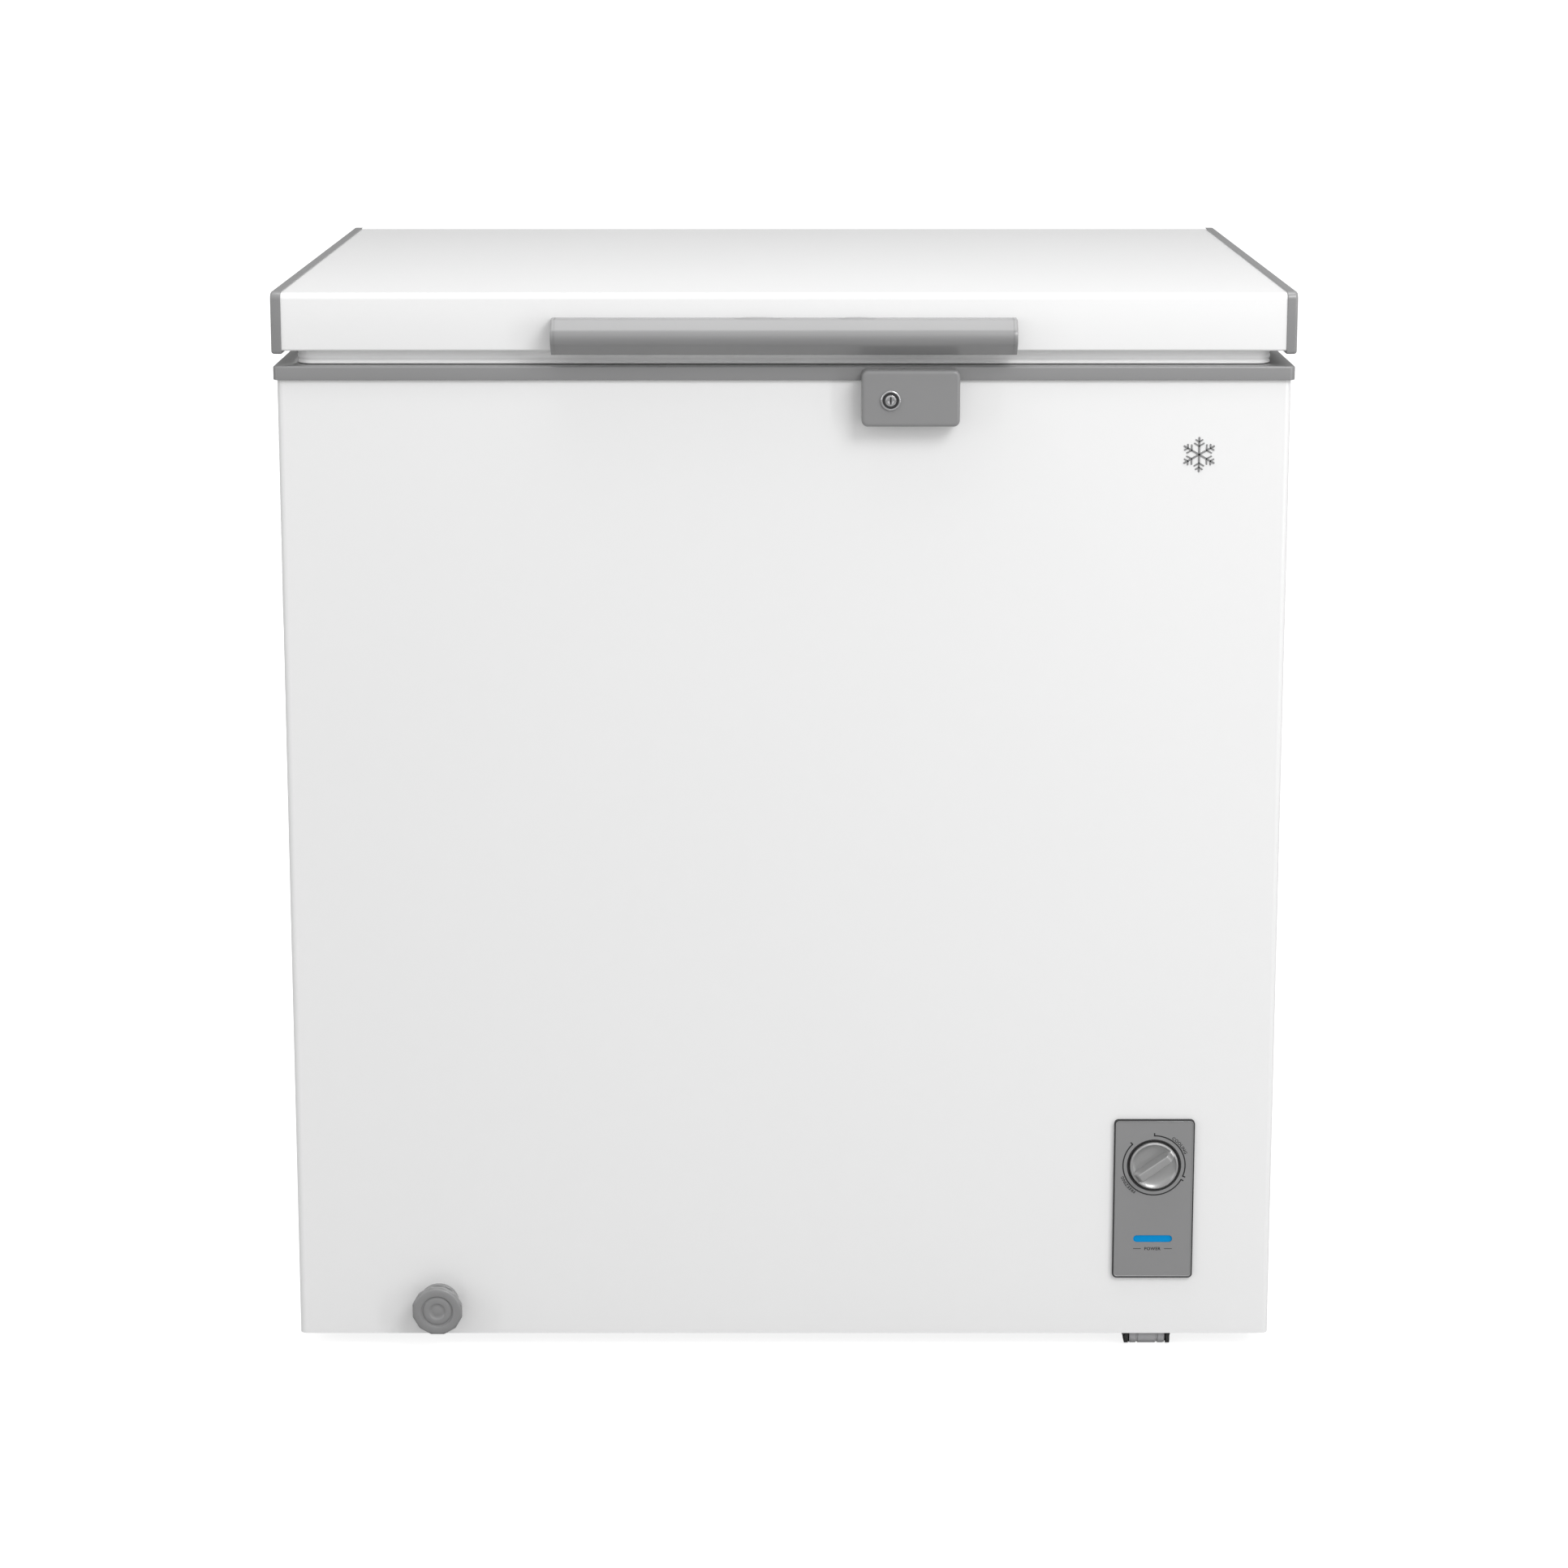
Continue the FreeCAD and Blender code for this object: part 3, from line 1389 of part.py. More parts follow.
# ---------------------------------------------------------------------------------------------------------
# The whole set
# ---------------------------------------------------------------------------------------------------------
def all_parts():
    """Every node's shape, by the node's name."""
    evaporator = evaporator_coil()
    condenser = condenser_coil()
    base_screws = hinge_screws_base()
    leaf_screws = hinge_screws_leaf()
    grip_screws = handle_screws()
    back_screws = cover_screws()
    wheel_screws = caster_screws()
    screw_channels = base_screws.Solids
    right_cap = lid_end_cap()
    parts = {
        "outer_wrap": outer_wrap(),
        "rear_panel": bored_for_screws(bored_for_screws(rear_panel(), base_screws), back_screws),
        "base_pan": bored_for_screws(base_pan(), wheel_screws),
        "bay_bulkhead": bay_bulkhead(),
        "insulation_foam": insulation_foam(
            [evaporator, condenser, drain_pipe_outside(), drain_spout()] + screw_channels
        ),
        "inner_liner": liner(),
        "top_trim": top_trim(),
        "evaporator_coil": evaporator,
        "condenser_coil": condenser,
        "side_vent_grille": side_vent_grille(),
        "rear_bay_cover": bored_for_screws(rear_bay_cover(), back_screws),
        "cabinet_screws": Part.makeCompound([back_screws, wheel_screws, base_screws]),
        "cord_gland": cord_gland(),
        "control_panel": control_panel(),
        "power_lens": power_lens(),
        "power_lamp": power_lamp(),
        "thermostat_body": thermostat_body(),
        "thermostat_spindle": thermostat_spindle(),
        "temperature_dial": temperature_dial(),
        "lock_housing": lock_housing(),
        "lock_barrel": lock_barrel(),
        "lock_core": lock_core(),
        "lock_cam": lock_cam(),
        "lock_strike": lock_strike(),
        "drain_pipe": drain_pipe(),
        "drain_escutcheon": drain_escutcheon(),
        "drain_spout": drain_spout(),
        "drain_cap": drain_cap(),
        "drain_stopper": drain_stopper(),
        "caster_brackets": bored_for_screws(
            Part.makeCompound([caster_bracket(y) for y in caster_ys.values()]), wheel_screws
        ),
        "caster_axles": Part.makeCompound([caster_axle(y) for y in caster_ys.values()]),
        "front_caster_wheel": caster_wheel(caster_ys["front"]),
        "rear_caster_wheel": caster_wheel(caster_ys["rear"]),
        "foot_pads": foot_pads(),
        "compressor_shell": compressor_shell(),
        "compressor_motor": compressor_motor(),
        "compressor_mount_plate": compressor_mount_plate(),
        "compressor_grommets": compressor_grommets(),
        "compressor_bolts": compressor_bolts(),
        "terminal_cover": terminal_cover(),
        "discharge_tube": discharge_tube(),
        "suction_tube": suction_tube(),
        "filter_drier": filter_drier(),
        "capillary_tube": capillary_tube(),
        "lid_sheet": bored_for_screws(bored_for_screws(lid_sheet(), leaf_screws), grip_screws),
        "lid_liner": lid_liner(),
        "lid_foam": bored_for_screws(bored_for_screws(lid_foam(), leaf_screws), grip_screws),
        "lid_gasket": lid_gasket(),
        "lid_end_cap_right": right_cap,
        "lid_end_cap_left": mirrored(right_cap),
        "handle": bored_for_screws(handle(), grip_screws),
        "handle_screws": grip_screws,
        "hinge_bases": bored_for_screws(at_both_hinges(hinge_base), base_screws),
        "hinge_leaves": bored_for_screws(at_both_hinges(hinge_leaf), leaf_screws),
        "hinge_pins": at_both_hinges(hinge_pin),
        "hinge_springs": at_both_hinges(hinge_spring),
        "hinge_leaf_screws": leaf_screws,
        "basket_frame": basket_frame(),
        "basket_wires": basket_wires(),
    }
    return parts


def main():
    os.makedirs("parts", exist_ok=True)
    for name, shape in all_parts().items():
        shape.exportStep(os.path.join("parts", name + ".step"))
        solids, volume = len(shape.Solids), shape.Volume / 1000
        print(f"{name:24s} solids {solids:3d} valid {shape.isValid()} volume {volume:10.2f} cm3")


main()
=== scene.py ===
"""Looks of a chest freezer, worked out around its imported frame. Metres, +Z up, the front faces -Y."""

import math

import bmesh
import bpy
import numpy as np
from bpy.props import FloatProperty, FloatVectorProperty, IntProperty, PointerProperty
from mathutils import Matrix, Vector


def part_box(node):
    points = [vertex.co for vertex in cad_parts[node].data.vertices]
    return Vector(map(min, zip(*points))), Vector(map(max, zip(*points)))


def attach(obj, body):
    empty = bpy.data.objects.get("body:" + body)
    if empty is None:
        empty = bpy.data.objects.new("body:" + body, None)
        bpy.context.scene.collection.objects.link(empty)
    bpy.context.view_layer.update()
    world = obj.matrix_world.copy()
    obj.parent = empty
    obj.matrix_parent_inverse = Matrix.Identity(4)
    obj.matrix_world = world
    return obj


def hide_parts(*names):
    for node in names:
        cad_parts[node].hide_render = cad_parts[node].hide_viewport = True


bl_info = {
    "name": "Chest Freezer",
    "version": (1, 0, 0),
    "blender": (4, 5, 0),
    "location": "3D View > Sidebar > Freezer",
    "description": "Builds a chest freezer's finishes and moulded pieces around its frame",
    "category": "Object",
}

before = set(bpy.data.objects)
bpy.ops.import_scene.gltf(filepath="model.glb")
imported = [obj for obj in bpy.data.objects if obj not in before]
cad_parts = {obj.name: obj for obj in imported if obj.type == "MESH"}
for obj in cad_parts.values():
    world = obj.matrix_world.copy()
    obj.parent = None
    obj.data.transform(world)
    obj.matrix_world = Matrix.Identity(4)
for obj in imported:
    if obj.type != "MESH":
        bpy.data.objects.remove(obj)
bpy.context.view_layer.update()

MM = 0.001


def extent(node):
    """Lowest and highest corner of a node of the frame, as two arrays in metres."""
    low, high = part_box(node)
    return np.array(low), np.array(high)


def centre(node):
    """Middle of a node of the frame."""
    low, high = extent(node)
    return (low + high) / 2


# -----------------------------------------------------------------------------------------------------------
# Sizes and colours that a user would change
# -----------------------------------------------------------------------------------------------------------
def length(name, description, millimetres):
    """A size property, given in millimetres and kept in metres."""
    return FloatProperty(
        name=name, description=description, default=millimetres * MM, min=0.0, unit="LENGTH", precision=5
    )


def colour(name, description, value):
    """A colour property, as linear red, green and blue."""
    return FloatVectorProperty(
        name=name, description=description, default=value, min=0.0, max=1.0, size=3, subtype="COLOR"
    )


class FreezerSizes(bpy.types.PropertyGroup):
    """Sizes of the moulded and bent pieces"""

    sheet: length("Sheet", "Thickness of the lid's painted sheet", 1.0)
    lid_bend: length("Lid Bend", "Outside radius of the lid's top edges", 5.0)
    hem_bend: length("Hem Bend", "Outside radius of the lid's lower edges", 1.8)
    hem: length("Hem", "Width of the hem under the lid", 10.0)
    cap_round: length("Cap Rounding", "Rounding of the end caps' outer edges", 2.2)
    lock_edge: length("Lock Edge", "Rounding of the lock case's front edges", 2.6)
    trim_round: length("Frame Rounding", "Rounding of the grey frame's top edge", 1.6)
    rim_side: length("Rim Side", "Grey frame's width at the sides", 65.0)
    rim_front: length("Rim Front", "Grey frame's width at the front", 65.5)
    rim_rear: length("Rim Rear", "Grey frame's width at the back", 62.5)
    handle_wall: length("Handle Wall", "Wall of the handle", 3.0)
    handle_shelf: length("Handle Shelf", "Depth of the handle's flat top", 13.0)
    handle_foot: length("Handle Foot", "Reach of the handle's lower edge", 11.0)
    print_height: length("Print Height", "Thickness of the printed marks", 0.06)
    scale_radius: length("Scale Radius", "Radius of the arcs round the dial", 24.6)
    scale_line: length("Scale Line", "Width of the printed lines", 1.0)
    word_height: length("Word Height", "Height of the words round the dial", 2.5)
    grip_width: length("Grip Width", "Width of the dial's grip", 8.2)
    rim_wire: length("Rim Wire", "Radius of the basket's rim wire", 2.5)
    mesh_wire: length("Mesh Wire", "Radius of the basket's thin wires", 1.3)
    mesh_pitch: length("Mesh Pitch", "Distance between the basket's thin wires", 24.0)
    emblem: length("Emblem", "Radius of the snowflake", 13.0)
    cap_grips: IntProperty(name="Cap Grips", description="Flats round the drain cap", default=12, min=3)


class FreezerColours(bpy.types.PropertyGroup):
    """Colours of the finishes"""

    enamel: colour("Enamel", "White paint of the cabinet and lid", (0.79, 0.79, 0.79))
    grey: colour("Grey", "Grey mouldings", (0.235, 0.235, 0.237))
    gasket: colour("Gasket", "Soft seal", (0.90, 0.90, 0.90))
    liner: colour("Liner", "Inside of the cabinet", (0.74, 0.75, 0.76))
    lens: colour("Lens", "Power light", (0.0, 0.23, 0.54))
    # Ink also colours the ring of painted shade round the dial's cup.
    ink: colour("Ink", "Printed marks", (0.012, 0.012, 0.013))
    foam: colour("Foam", "Insulation", (0.80, 0.70, 0.42))
    copper: colour("Copper", "Refrigerant tubes", (0.72, 0.34, 0.19))


def sizes():
    return bpy.context.scene.freezer_sizes


def colours():
    return bpy.context.scene.freezer_colours


# -----------------------------------------------------------------------------------------------------------
# Materials
# -----------------------------------------------------------------------------------------------------------
def add_socket(group, name, kind, side, value=None):
    """One named input or output of a node group."""
    made = group.interface.new_socket(name=name, in_out=side, socket_type=kind)
    if value is not None:
        made.default_value = value
    return made


def group_called(name, build):
    """The shader node group of that name, built the first time it is asked for."""
    group = bpy.data.node_groups.get(name)
    if group is None:
        group = bpy.data.node_groups.new(name, "ShaderNodeTree")
        build(group)
    return group


def maths(nodes, links, operation, first, second):
    """A Math node; each of its two inputs is a number or a socket."""
    node = nodes.new("ShaderNodeMath")
    node.operation = operation
    for socket, value in zip(node.inputs, (first, second)):
        if isinstance(value, (int, float)):
            socket.default_value = value
        else:
            links.new(value, socket)
    return node.outputs[0]


def texture(nodes, links, kind, scale, detail=2.0):
    """A noise or voronoi texture on object coordinates."""
    node = nodes.new(f"ShaderNodeTex{kind}")
    coordinates = nodes.new("ShaderNodeTexCoord")
    links.new(coordinates.outputs["Object"], node.inputs["Vector"])
    if isinstance(scale, (int, float)):
        node.inputs["Scale"].default_value = scale
    else:
        links.new(scale, node.inputs["Scale"])
    if "Detail" in node.inputs:
        node.inputs["Detail"].default_value = detail
    return node


def blended(nodes, links, factor, first, second):
    """A colour mix between two colour sockets."""
    node = nodes.new("ShaderNodeMix")
    node.data_type = "RGBA"
    links.new(factor, node.inputs["Factor"])
    links.new(first, node.inputs["A"])
    links.new(second, node.inputs["B"])
    return node.outputs["Result"]


def build_surface(group):
    """Wide patches shift the colour and roughness a little, and fine grain gives the height."""
    colour_kind, number = "NodeSocketColor", "NodeSocketFloat"
    add_socket(group, "Base", colour_kind, "INPUT", (0.8, 0.8, 0.8, 1.0))
    add_socket(group, "Shade", colour_kind, "INPUT", (0.7, 0.7, 0.7, 1.0))
    add_socket(group, "Patch Scale", number, "INPUT", 5.0)
    add_socket(group, "Grain Scale", number, "INPUT", 900.0)
    add_socket(group, "Grain Tint", number, "INPUT", 0.15)
    add_socket(group, "Roughness", number, "INPUT", 0.4)
    add_socket(group, "Roughness Shift", number, "INPUT", 0.1)
    add_socket(group, "Color", colour_kind, "OUTPUT")
    add_socket(group, "Roughness", number, "OUTPUT")
    add_socket(group, "Height", number, "OUTPUT")
    nodes, links = group.nodes, group.links
    given, result = nodes.new("NodeGroupInput"), nodes.new("NodeGroupOutput")
    patches = texture(nodes, links, "Noise", given.outputs["Patch Scale"], 3.0).outputs["Fac"]
    grain = texture(nodes, links, "Noise", given.outputs["Grain Scale"], 3.0).outputs["Fac"]
    tint = maths(nodes, links, "MULTIPLY", grain, given.outputs["Grain Tint"])
    amount = maths(nodes, links, "ADD", tint, maths(nodes, links, "MULTIPLY", patches, 0.8))
    mixed = blended(nodes, links, amount, given.outputs["Base"], given.outputs["Shade"])
    links.new(mixed, result.inputs["Color"])
    spread = maths(nodes, links, "MULTIPLY", patches, given.outputs["Roughness Shift"])
    links.new(maths(nodes, links, "ADD", given.outputs["Roughness"], spread), result.inputs["Roughness"])
    links.new(grain, result.inputs["Height"])


def build_cells(group):
    """Rounded cells, as on stucco-embossed sheet, zinc spangle or cut foam."""
    number = "NodeSocketFloat"
    add_socket(group, "Scale", number, "INPUT", 200.0)
    add_socket(group, "Height", number, "OUTPUT")
    add_socket(group, "Cell", number, "OUTPUT")
    nodes, links = group.nodes, group.links
    given, result = nodes.new("NodeGroupInput"), nodes.new("NodeGroupOutput")
    cells = texture(nodes, links, "Voronoi", given.outputs["Scale"])
    cells.feature = "SMOOTH_F1"
    cells.inputs["Smoothness"].default_value = 0.4
    split = nodes.new("ShaderNodeSeparateColor")
    links.new(cells.outputs["Color"], split.inputs["Color"])
    links.new(cells.outputs["Distance"], result.inputs["Height"])
    links.new(split.outputs["Red"], result.inputs["Cell"])


def shaded(value, share):
    """A colour made darker by a share."""
    return tuple(channel * (1.0 - share) for channel in value)


def finish(name, base, shade=0.12, roughness=0.4, shift=0.1, patch=5.0, grain=900.0, tint=0.15,
           depth=0.02, cells=None, cell_depth=0.1, **shader):
    """A finish: the Principled shader with varied colour, roughness and relief. Depths are in millimetres."""
    made = bpy.data.materials.get(name)
    if made is not None:
        return made
    made = bpy.data.materials.new(name)
    made.use_nodes = True
    nodes, links = made.node_tree.nodes, made.node_tree.links
    principled = nodes["Principled BSDF"]
    surface = nodes.new("ShaderNodeGroup")
    surface.node_tree = group_called("surface_variation", build_surface)
    surface.inputs["Base"].default_value = (*base, 1.0)
    surface.inputs["Shade"].default_value = (*shaded(base, shade), 1.0)
    surface.inputs["Patch Scale"].default_value = patch
    surface.inputs["Grain Scale"].default_value = grain
    surface.inputs["Grain Tint"].default_value = tint
    surface.inputs["Roughness"].default_value = roughness
    surface.inputs["Roughness Shift"].default_value = shift
    links.new(surface.outputs["Color"], principled.inputs["Base Color"])
    links.new(surface.outputs["Roughness"], principled.inputs["Roughness"])
    bump = nodes.new("ShaderNodeBump")
    bump.inputs["Distance"].default_value = depth * MM
    links.new(surface.outputs["Height"], bump.inputs["Height"])
    if cells:
        pattern = nodes.new("ShaderNodeGroup")
        pattern.node_tree = group_called("surface_cells", build_cells)
        pattern.inputs["Scale"].default_value = cells
        relief = nodes.new("ShaderNodeBump")
        relief.inputs["Distance"].default_value = cell_depth * MM
        links.new(pattern.outputs["Height"], relief.inputs["Height"])
        links.new(relief.outputs["Normal"], bump.inputs["Normal"])
    links.new(bump.outputs["Normal"], principled.inputs["Normal"])
    for socket, value in shader.items():
        principled.inputs[socket.replace("_", " ")].default_value = value
    return made


def enamel():
    return finish("white_enamel", colours().enamel, shade=0.025, roughness=0.30, shift=0.06, patch=2.5,
                  grain=420.0, tint=0.02, depth=0.012, Coat_Weight=0.25, Coat_Roughness=0.12)


def grey_moulding():
    return finish("grey_moulding", colours().grey, shade=0.10, roughness=0.34, shift=0.08, patch=9.0,
                  grain=2600.0, tint=0.25, depth=0.015, Coat_Weight=0.35, Coat_Roughness=0.12)


def satin_moulding():
    return finish("satin_moulding", (0.40, 0.40, 0.40), shade=0.10, roughness=0.30, shift=0.10, patch=40.0,
                  grain=2600.0, tint=0.2, depth=0.006, Metallic=0.7, Coat_Weight=0.3, Coat_Roughness=0.1)


def white_moulding():
    return finish("white_moulding", (0.76, 0.77, 0.76), shade=0.05, roughness=0.32, shift=0.08,
                  grain=1500.0, depth=0.015)


def soft_seal():
    return finish("soft_seal", colours().gasket, shade=0.14, roughness=0.55, shift=0.15, patch=14.0,
                  grain=1800.0, depth=0.03)


# Black plastic for the real black parts, and painted shade for the lock's gap ring, its keyway and the
# panel's edge line.
def black_moulding_and_painted_shade():
    return finish("black_moulding_and_painted_shade", (0.020, 0.020, 0.021), shade=0.4, roughness=0.42, shift=0.12,
                  grain=2200.0, depth=0.03)


def black_rubber():
    return finish("black_rubber", (0.016, 0.016, 0.016), shade=0.35, roughness=0.62, shift=0.2,
                  grain=1600.0, depth=0.05)


def black_enamel():
    return finish("black_enamel", (0.014, 0.014, 0.015), shade=0.3, roughness=0.22, shift=0.12,
                  grain=380.0, depth=0.03, Coat_Weight=0.4, Coat_Roughness=0.1)


def chrome():
    return finish("polished_chrome", (0.60, 0.60, 0.61), shade=0.12, roughness=0.13, shift=0.1,
                  patch=160.0, grain=2400.0, depth=0.004, Metallic=1.0)


def bright_zinc():
    return finish("bright_zinc", (0.56, 0.57, 0.58), shade=0.22, roughness=0.28, shift=0.2,
                  patch=60.0, grain=1500.0, depth=0.01, Metallic=1.0)


def galvanised():
    return finish("galvanised_sheet", (0.50, 0.52, 0.54), shade=0.25, roughness=0.36, shift=0.22,
                  patch=22.0, grain=600.0, cells=70.0, cell_depth=0.03, Metallic=1.0)


def embossed_liner():
    return finish("embossed_liner", colours().liner, shade=0.05, roughness=0.30, shift=0.1, patch=4.0,
                  grain=900.0, depth=0.01, cells=230.0, cell_depth=0.55)


def foam():
    return finish("rigid_foam", colours().foam, shade=0.25, roughness=0.85, shift=0.1, patch=12.0,
                  grain=500.0, depth=0.2, cells=700.0, cell_depth=0.6)


def copper():
    return finish("copper_tube", colours().copper, shade=0.45, roughness=0.26, shift=0.25,
                  patch=45.0, grain=900.0, depth=0.01, Metallic=1.0)


def tube_aluminium():
    return finish("drawn_aluminium", (0.62, 0.63, 0.64), shade=0.15, roughness=0.34, shift=0.15,
                  patch=30.0, grain=1300.0, Metallic=1.0)


def coated_tube():
    return finish("coated_tube", (0.05, 0.05, 0.052), shade=0.3, roughness=0.45, shift=0.15, patch=20.0)


def motor_iron():
    return finish("motor_iron", (0.16, 0.155, 0.15), shade=0.35, roughness=0.5, shift=0.2, patch=30.0,
                  grain=700.0, depth=0.15, Metallic=0.8)


def nylon():
    return finish("grey_nylon", (0.42, 0.42, 0.43), shade=0.25, roughness=0.42, shift=0.2, patch=60.0,
                  grain=1500.0, depth=0.03)


def coated_wire():
    return finish("coated_wire", (0.74, 0.75, 0.75), shade=0.06, roughness=0.26, shift=0.1, patch=40.0,
                  grain=1200.0, depth=0.01, Coat_Weight=0.3)


def hose():
    return finish("moulded_hose", (0.60, 0.61, 0.60), shade=0.12, roughness=0.45, shift=0.1)


# Black ink for the printed marks; it also colours the ring of painted shade round the dial's cup.
def ink():
    return finish("printed_ink_and_gap_shade", colours().ink, shade=0.3, roughness=0.5, shift=0.1,
                  grain=3000.0, depth=0.004)


def tinted_lens():
    return finish("tinted_lens", colours().lens, shade=0.10, roughness=0.16, shift=0.06, patch=120.0,
                  grain=900.0, depth=0.004, Specular_IOR_Level=0.12, Emission_Color=(*colours().lens, 1.0),
                  Emission_Strength=0.10)


def lamp_glass():
    return finish("lamp_glass", (0.80, 0.72, 0.60), shade=0.1, roughness=0.1, shift=0.05)


NODE_FINISHES = {
    enamel: ("outer_wrap", "rear_panel", "lid_sheet"),
    galvanised: ("base_pan", "bay_bulkhead"),
    foam: ("insulation_foam", "lid_foam"),
    embossed_liner: ("inner_liner",),
    grey_moulding: (
        "top_trim", "side_vent_grille", "control_panel", "temperature_dial", "lock_housing", "handle",
        "drain_escutcheon", "drain_cap", "drain_spout", "lid_end_cap_left", "lid_end_cap_right",
    ),
    white_moulding: ("lid_liner", "thermostat_body"),
    soft_seal: ("lid_gasket",),
    black_rubber: ("cord_gland", "compressor_grommets", "drain_stopper"),
    black_moulding_and_painted_shade: ("foot_pads", "terminal_cover", "rear_bay_cover"),
    bright_zinc: (
        "thermostat_spindle", "lock_cam", "lock_strike", "caster_axles", "compressor_bolts",
        "cabinet_screws", "handle_screws", "hinge_leaf_screws", "hinge_bases", "hinge_leaves",
        "hinge_pins", "hinge_springs",
    ),
    tinted_lens: ("power_lens",),
    lamp_glass: ("power_lamp",),
    chrome: ("lock_barrel", "lock_core"),
    hose: ("drain_pipe",),
    black_enamel: ("caster_brackets", "compressor_shell", "compressor_mount_plate"),
    nylon: ("front_caster_wheel", "rear_caster_wheel"),
    motor_iron: ("compressor_motor",),
    copper: ("discharge_tube", "suction_tube", "filter_drier", "capillary_tube"),
    tube_aluminium: ("evaporator_coil",),
    coated_tube: ("condenser_coil",),
    coated_wire: ("basket_frame", "basket_wires"),
}


# -----------------------------------------------------------------------------------------------------------
# Shapes as arrays
# -----------------------------------------------------------------------------------------------------------
def unit(vector):
    """The vector over its length."""
    return vector / np.linalg.norm(vector)


def rounded_outline(low, high, radii, arc=8):
    """Rounded rectangle, anticlockwise: quarter arcs round four corner centres, joined by straight sides.
    low and high are opposite corners (a, b). radii is one radius, or four, from the corner (low, low) on."""
    radii = np.broadcast_to(np.asarray(radii, dtype=float), (4,))
    a = np.array([low[0] + radii[0], high[0] - radii[1], high[0] - radii[2], low[0] + radii[3]])
    b = np.array([low[1] + radii[0], low[1] + radii[1], high[1] - radii[2], high[1] - radii[3]])
    start = np.array([1.0, 1.5, 0.0, 0.5]) * math.pi
    angle = start[:, None] + np.linspace(0.0, 0.5 * math.pi, arc + 1)[None, :]
    around_a = a[:, None] + radii[:, None] * np.cos(angle)
    around_b = b[:, None] + radii[:, None] * np.sin(angle)
    return np.stack([around_a.ravel(), around_b.ravel()], axis=-1)


def grown(low, high, radii, inset, arc=8):
    """Rounded rectangle drawn in by an inset on every side, with its corners' radii less by as much."""
    low, high = np.asarray(low, dtype=float), np.asarray(high, dtype=float)
    less = np.maximum(np.broadcast_to(np.asarray(radii, dtype=float), (4,)) - inset, 0.3 * MM)
    return rounded_outline(low + inset, high - inset, less, arc)


def circle(radius, points=64):
    """Points evenly round a circle about (0, 0)."""
    angle = np.linspace(0.0, 2.0 * math.pi, points, endpoint=False)
    return np.stack([radius * np.cos(angle), radius * np.sin(angle)], axis=-1)


def facing_front(outline, y):
    """Outline (a, b) laid in the plane y, as x = a and z = b."""
    return np.column_stack([outline[:, 0], np.full(len(outline), y), outline[:, 1]])


def facing_side(outline, x):
    """Outline (a, b) laid in the plane x, as y = a and z = b."""
    return np.column_stack([np.full(len(outline), x), outline[:, 0], outline[:, 1]])


def facing_up(outline, z):
    """Outline (a, b) laid in the plane z, as x = a and y = b."""
    return np.column_stack([outline[:, 0], outline[:, 1], np.full(len(outline), z)])


def rounded_path(corners, radii, steps=6, looped=False):
    """Straight runs whose corners become arcs that touch both runs. Each arc turns the vector from its
    centre evenly from one touching point to the other."""
    corners = np.asarray(corners, dtype=float)
    count = len(corners)
    radii = np.broadcast_to(np.asarray(radii, dtype=float), (count,))
    runs = [] if looped else [corners[:1]]
    for i in range(count) if looped else range(1, count - 1):
        corner = corners[i]
        back = unit(corners[i - 1] - corner)
        ahead = unit(corners[(i + 1) % count] - corner)
        half = 0.5 * math.acos(float(np.clip(back @ ahead, -1.0, 1.0)))
        middle = corner + unit(back + ahead) * radii[i] / math.sin(half)
        first = corner + back * radii[i] / math.tan(half) - middle
        last = corner + ahead * radii[i] / math.tan(half) - middle
        sweep = math.pi - 2.0 * half
        turn = np.linspace(0.0, 1.0, steps + 1)[:, None]
        arc = (np.sin((1.0 - turn) * sweep) * first + np.sin(turn * sweep) * last) / math.sin(sweep)
        runs.append(middle + arc)
    if not looped:
        runs.append(corners[-1:])
    return np.concatenate(runs)


def round_bar(path, radius, normal, looped=False, sides=12):
    """Round bar along a path that lies in one plane: at each point a circle square to the path, spanned by
    the plane's normal and the direction across the path."""
    path = np.asarray(path, dtype=float)
    if looped:
        along = np.roll(path, -1, axis=0) - np.roll(path, 1, axis=0)
    else:
        along = np.gradient(path, axis=0)
    along /= np.linalg.norm(along, axis=1)[:, None]
    normal = unit(np.asarray(normal, dtype=float))
    across = np.cross(along, normal)
    angle = np.linspace(0.0, 2.0 * math.pi, sides, endpoint=False)
    around = across[:, None, :] * np.cos(angle)[None, :, None] + normal * np.sin(angle)[None, :, None]
    return path[:, None, :] + radius * around


def straight_bar(start, end, radius, sides=12):
    """Round bar between two points."""
    start, end = np.asarray(start, dtype=float), np.asarray(end, dtype=float)
    along = unit(end - start)
    normal = np.cross(along, (0.0, 0.0, 1.0) if abs(along[2]) < 0.9 else (1.0, 0.0, 0.0))
    return round_bar([start, end], radius, normal, sides=sides)


def turned(profile, hub, points=64):
    """Profile of (radius, y) pairs turned about the line through the hub along Y."""
    return np.stack([facing_front(circle(radius, points) + (hub[0], hub[2]), y) for radius, y in profile])


def turned_about_x(profile, hub, points=48):
    """Profile of (radius, x) pairs turned about the line through the hub along X."""
    return np.stack([facing_side(circle(radius, points) + (hub[1], hub[2]), x) for radius, x in profile])


def shell_faces(stations, points, looped, first):
    """Quads between neighbouring rings, and one face over each open end. A ring is closed on itself."""
    rows = np.arange(stations if looped else stations - 1)[:, None]
    across = np.arange(points)[None, :]
    after = (across + 1) % points
    below = (rows + 1) % stations
    corners = [rows * points + across, rows * points + after, below * points + after, below * points + across]
    quads = np.stack(corners, axis=-1)
    faces = (quads.reshape(-1, 4) + first).tolist()
    if not looped:
        end = np.arange(points) + first
        faces += [end[::-1].tolist(), (end + (stations - 1) * points).tolist()]
    return faces


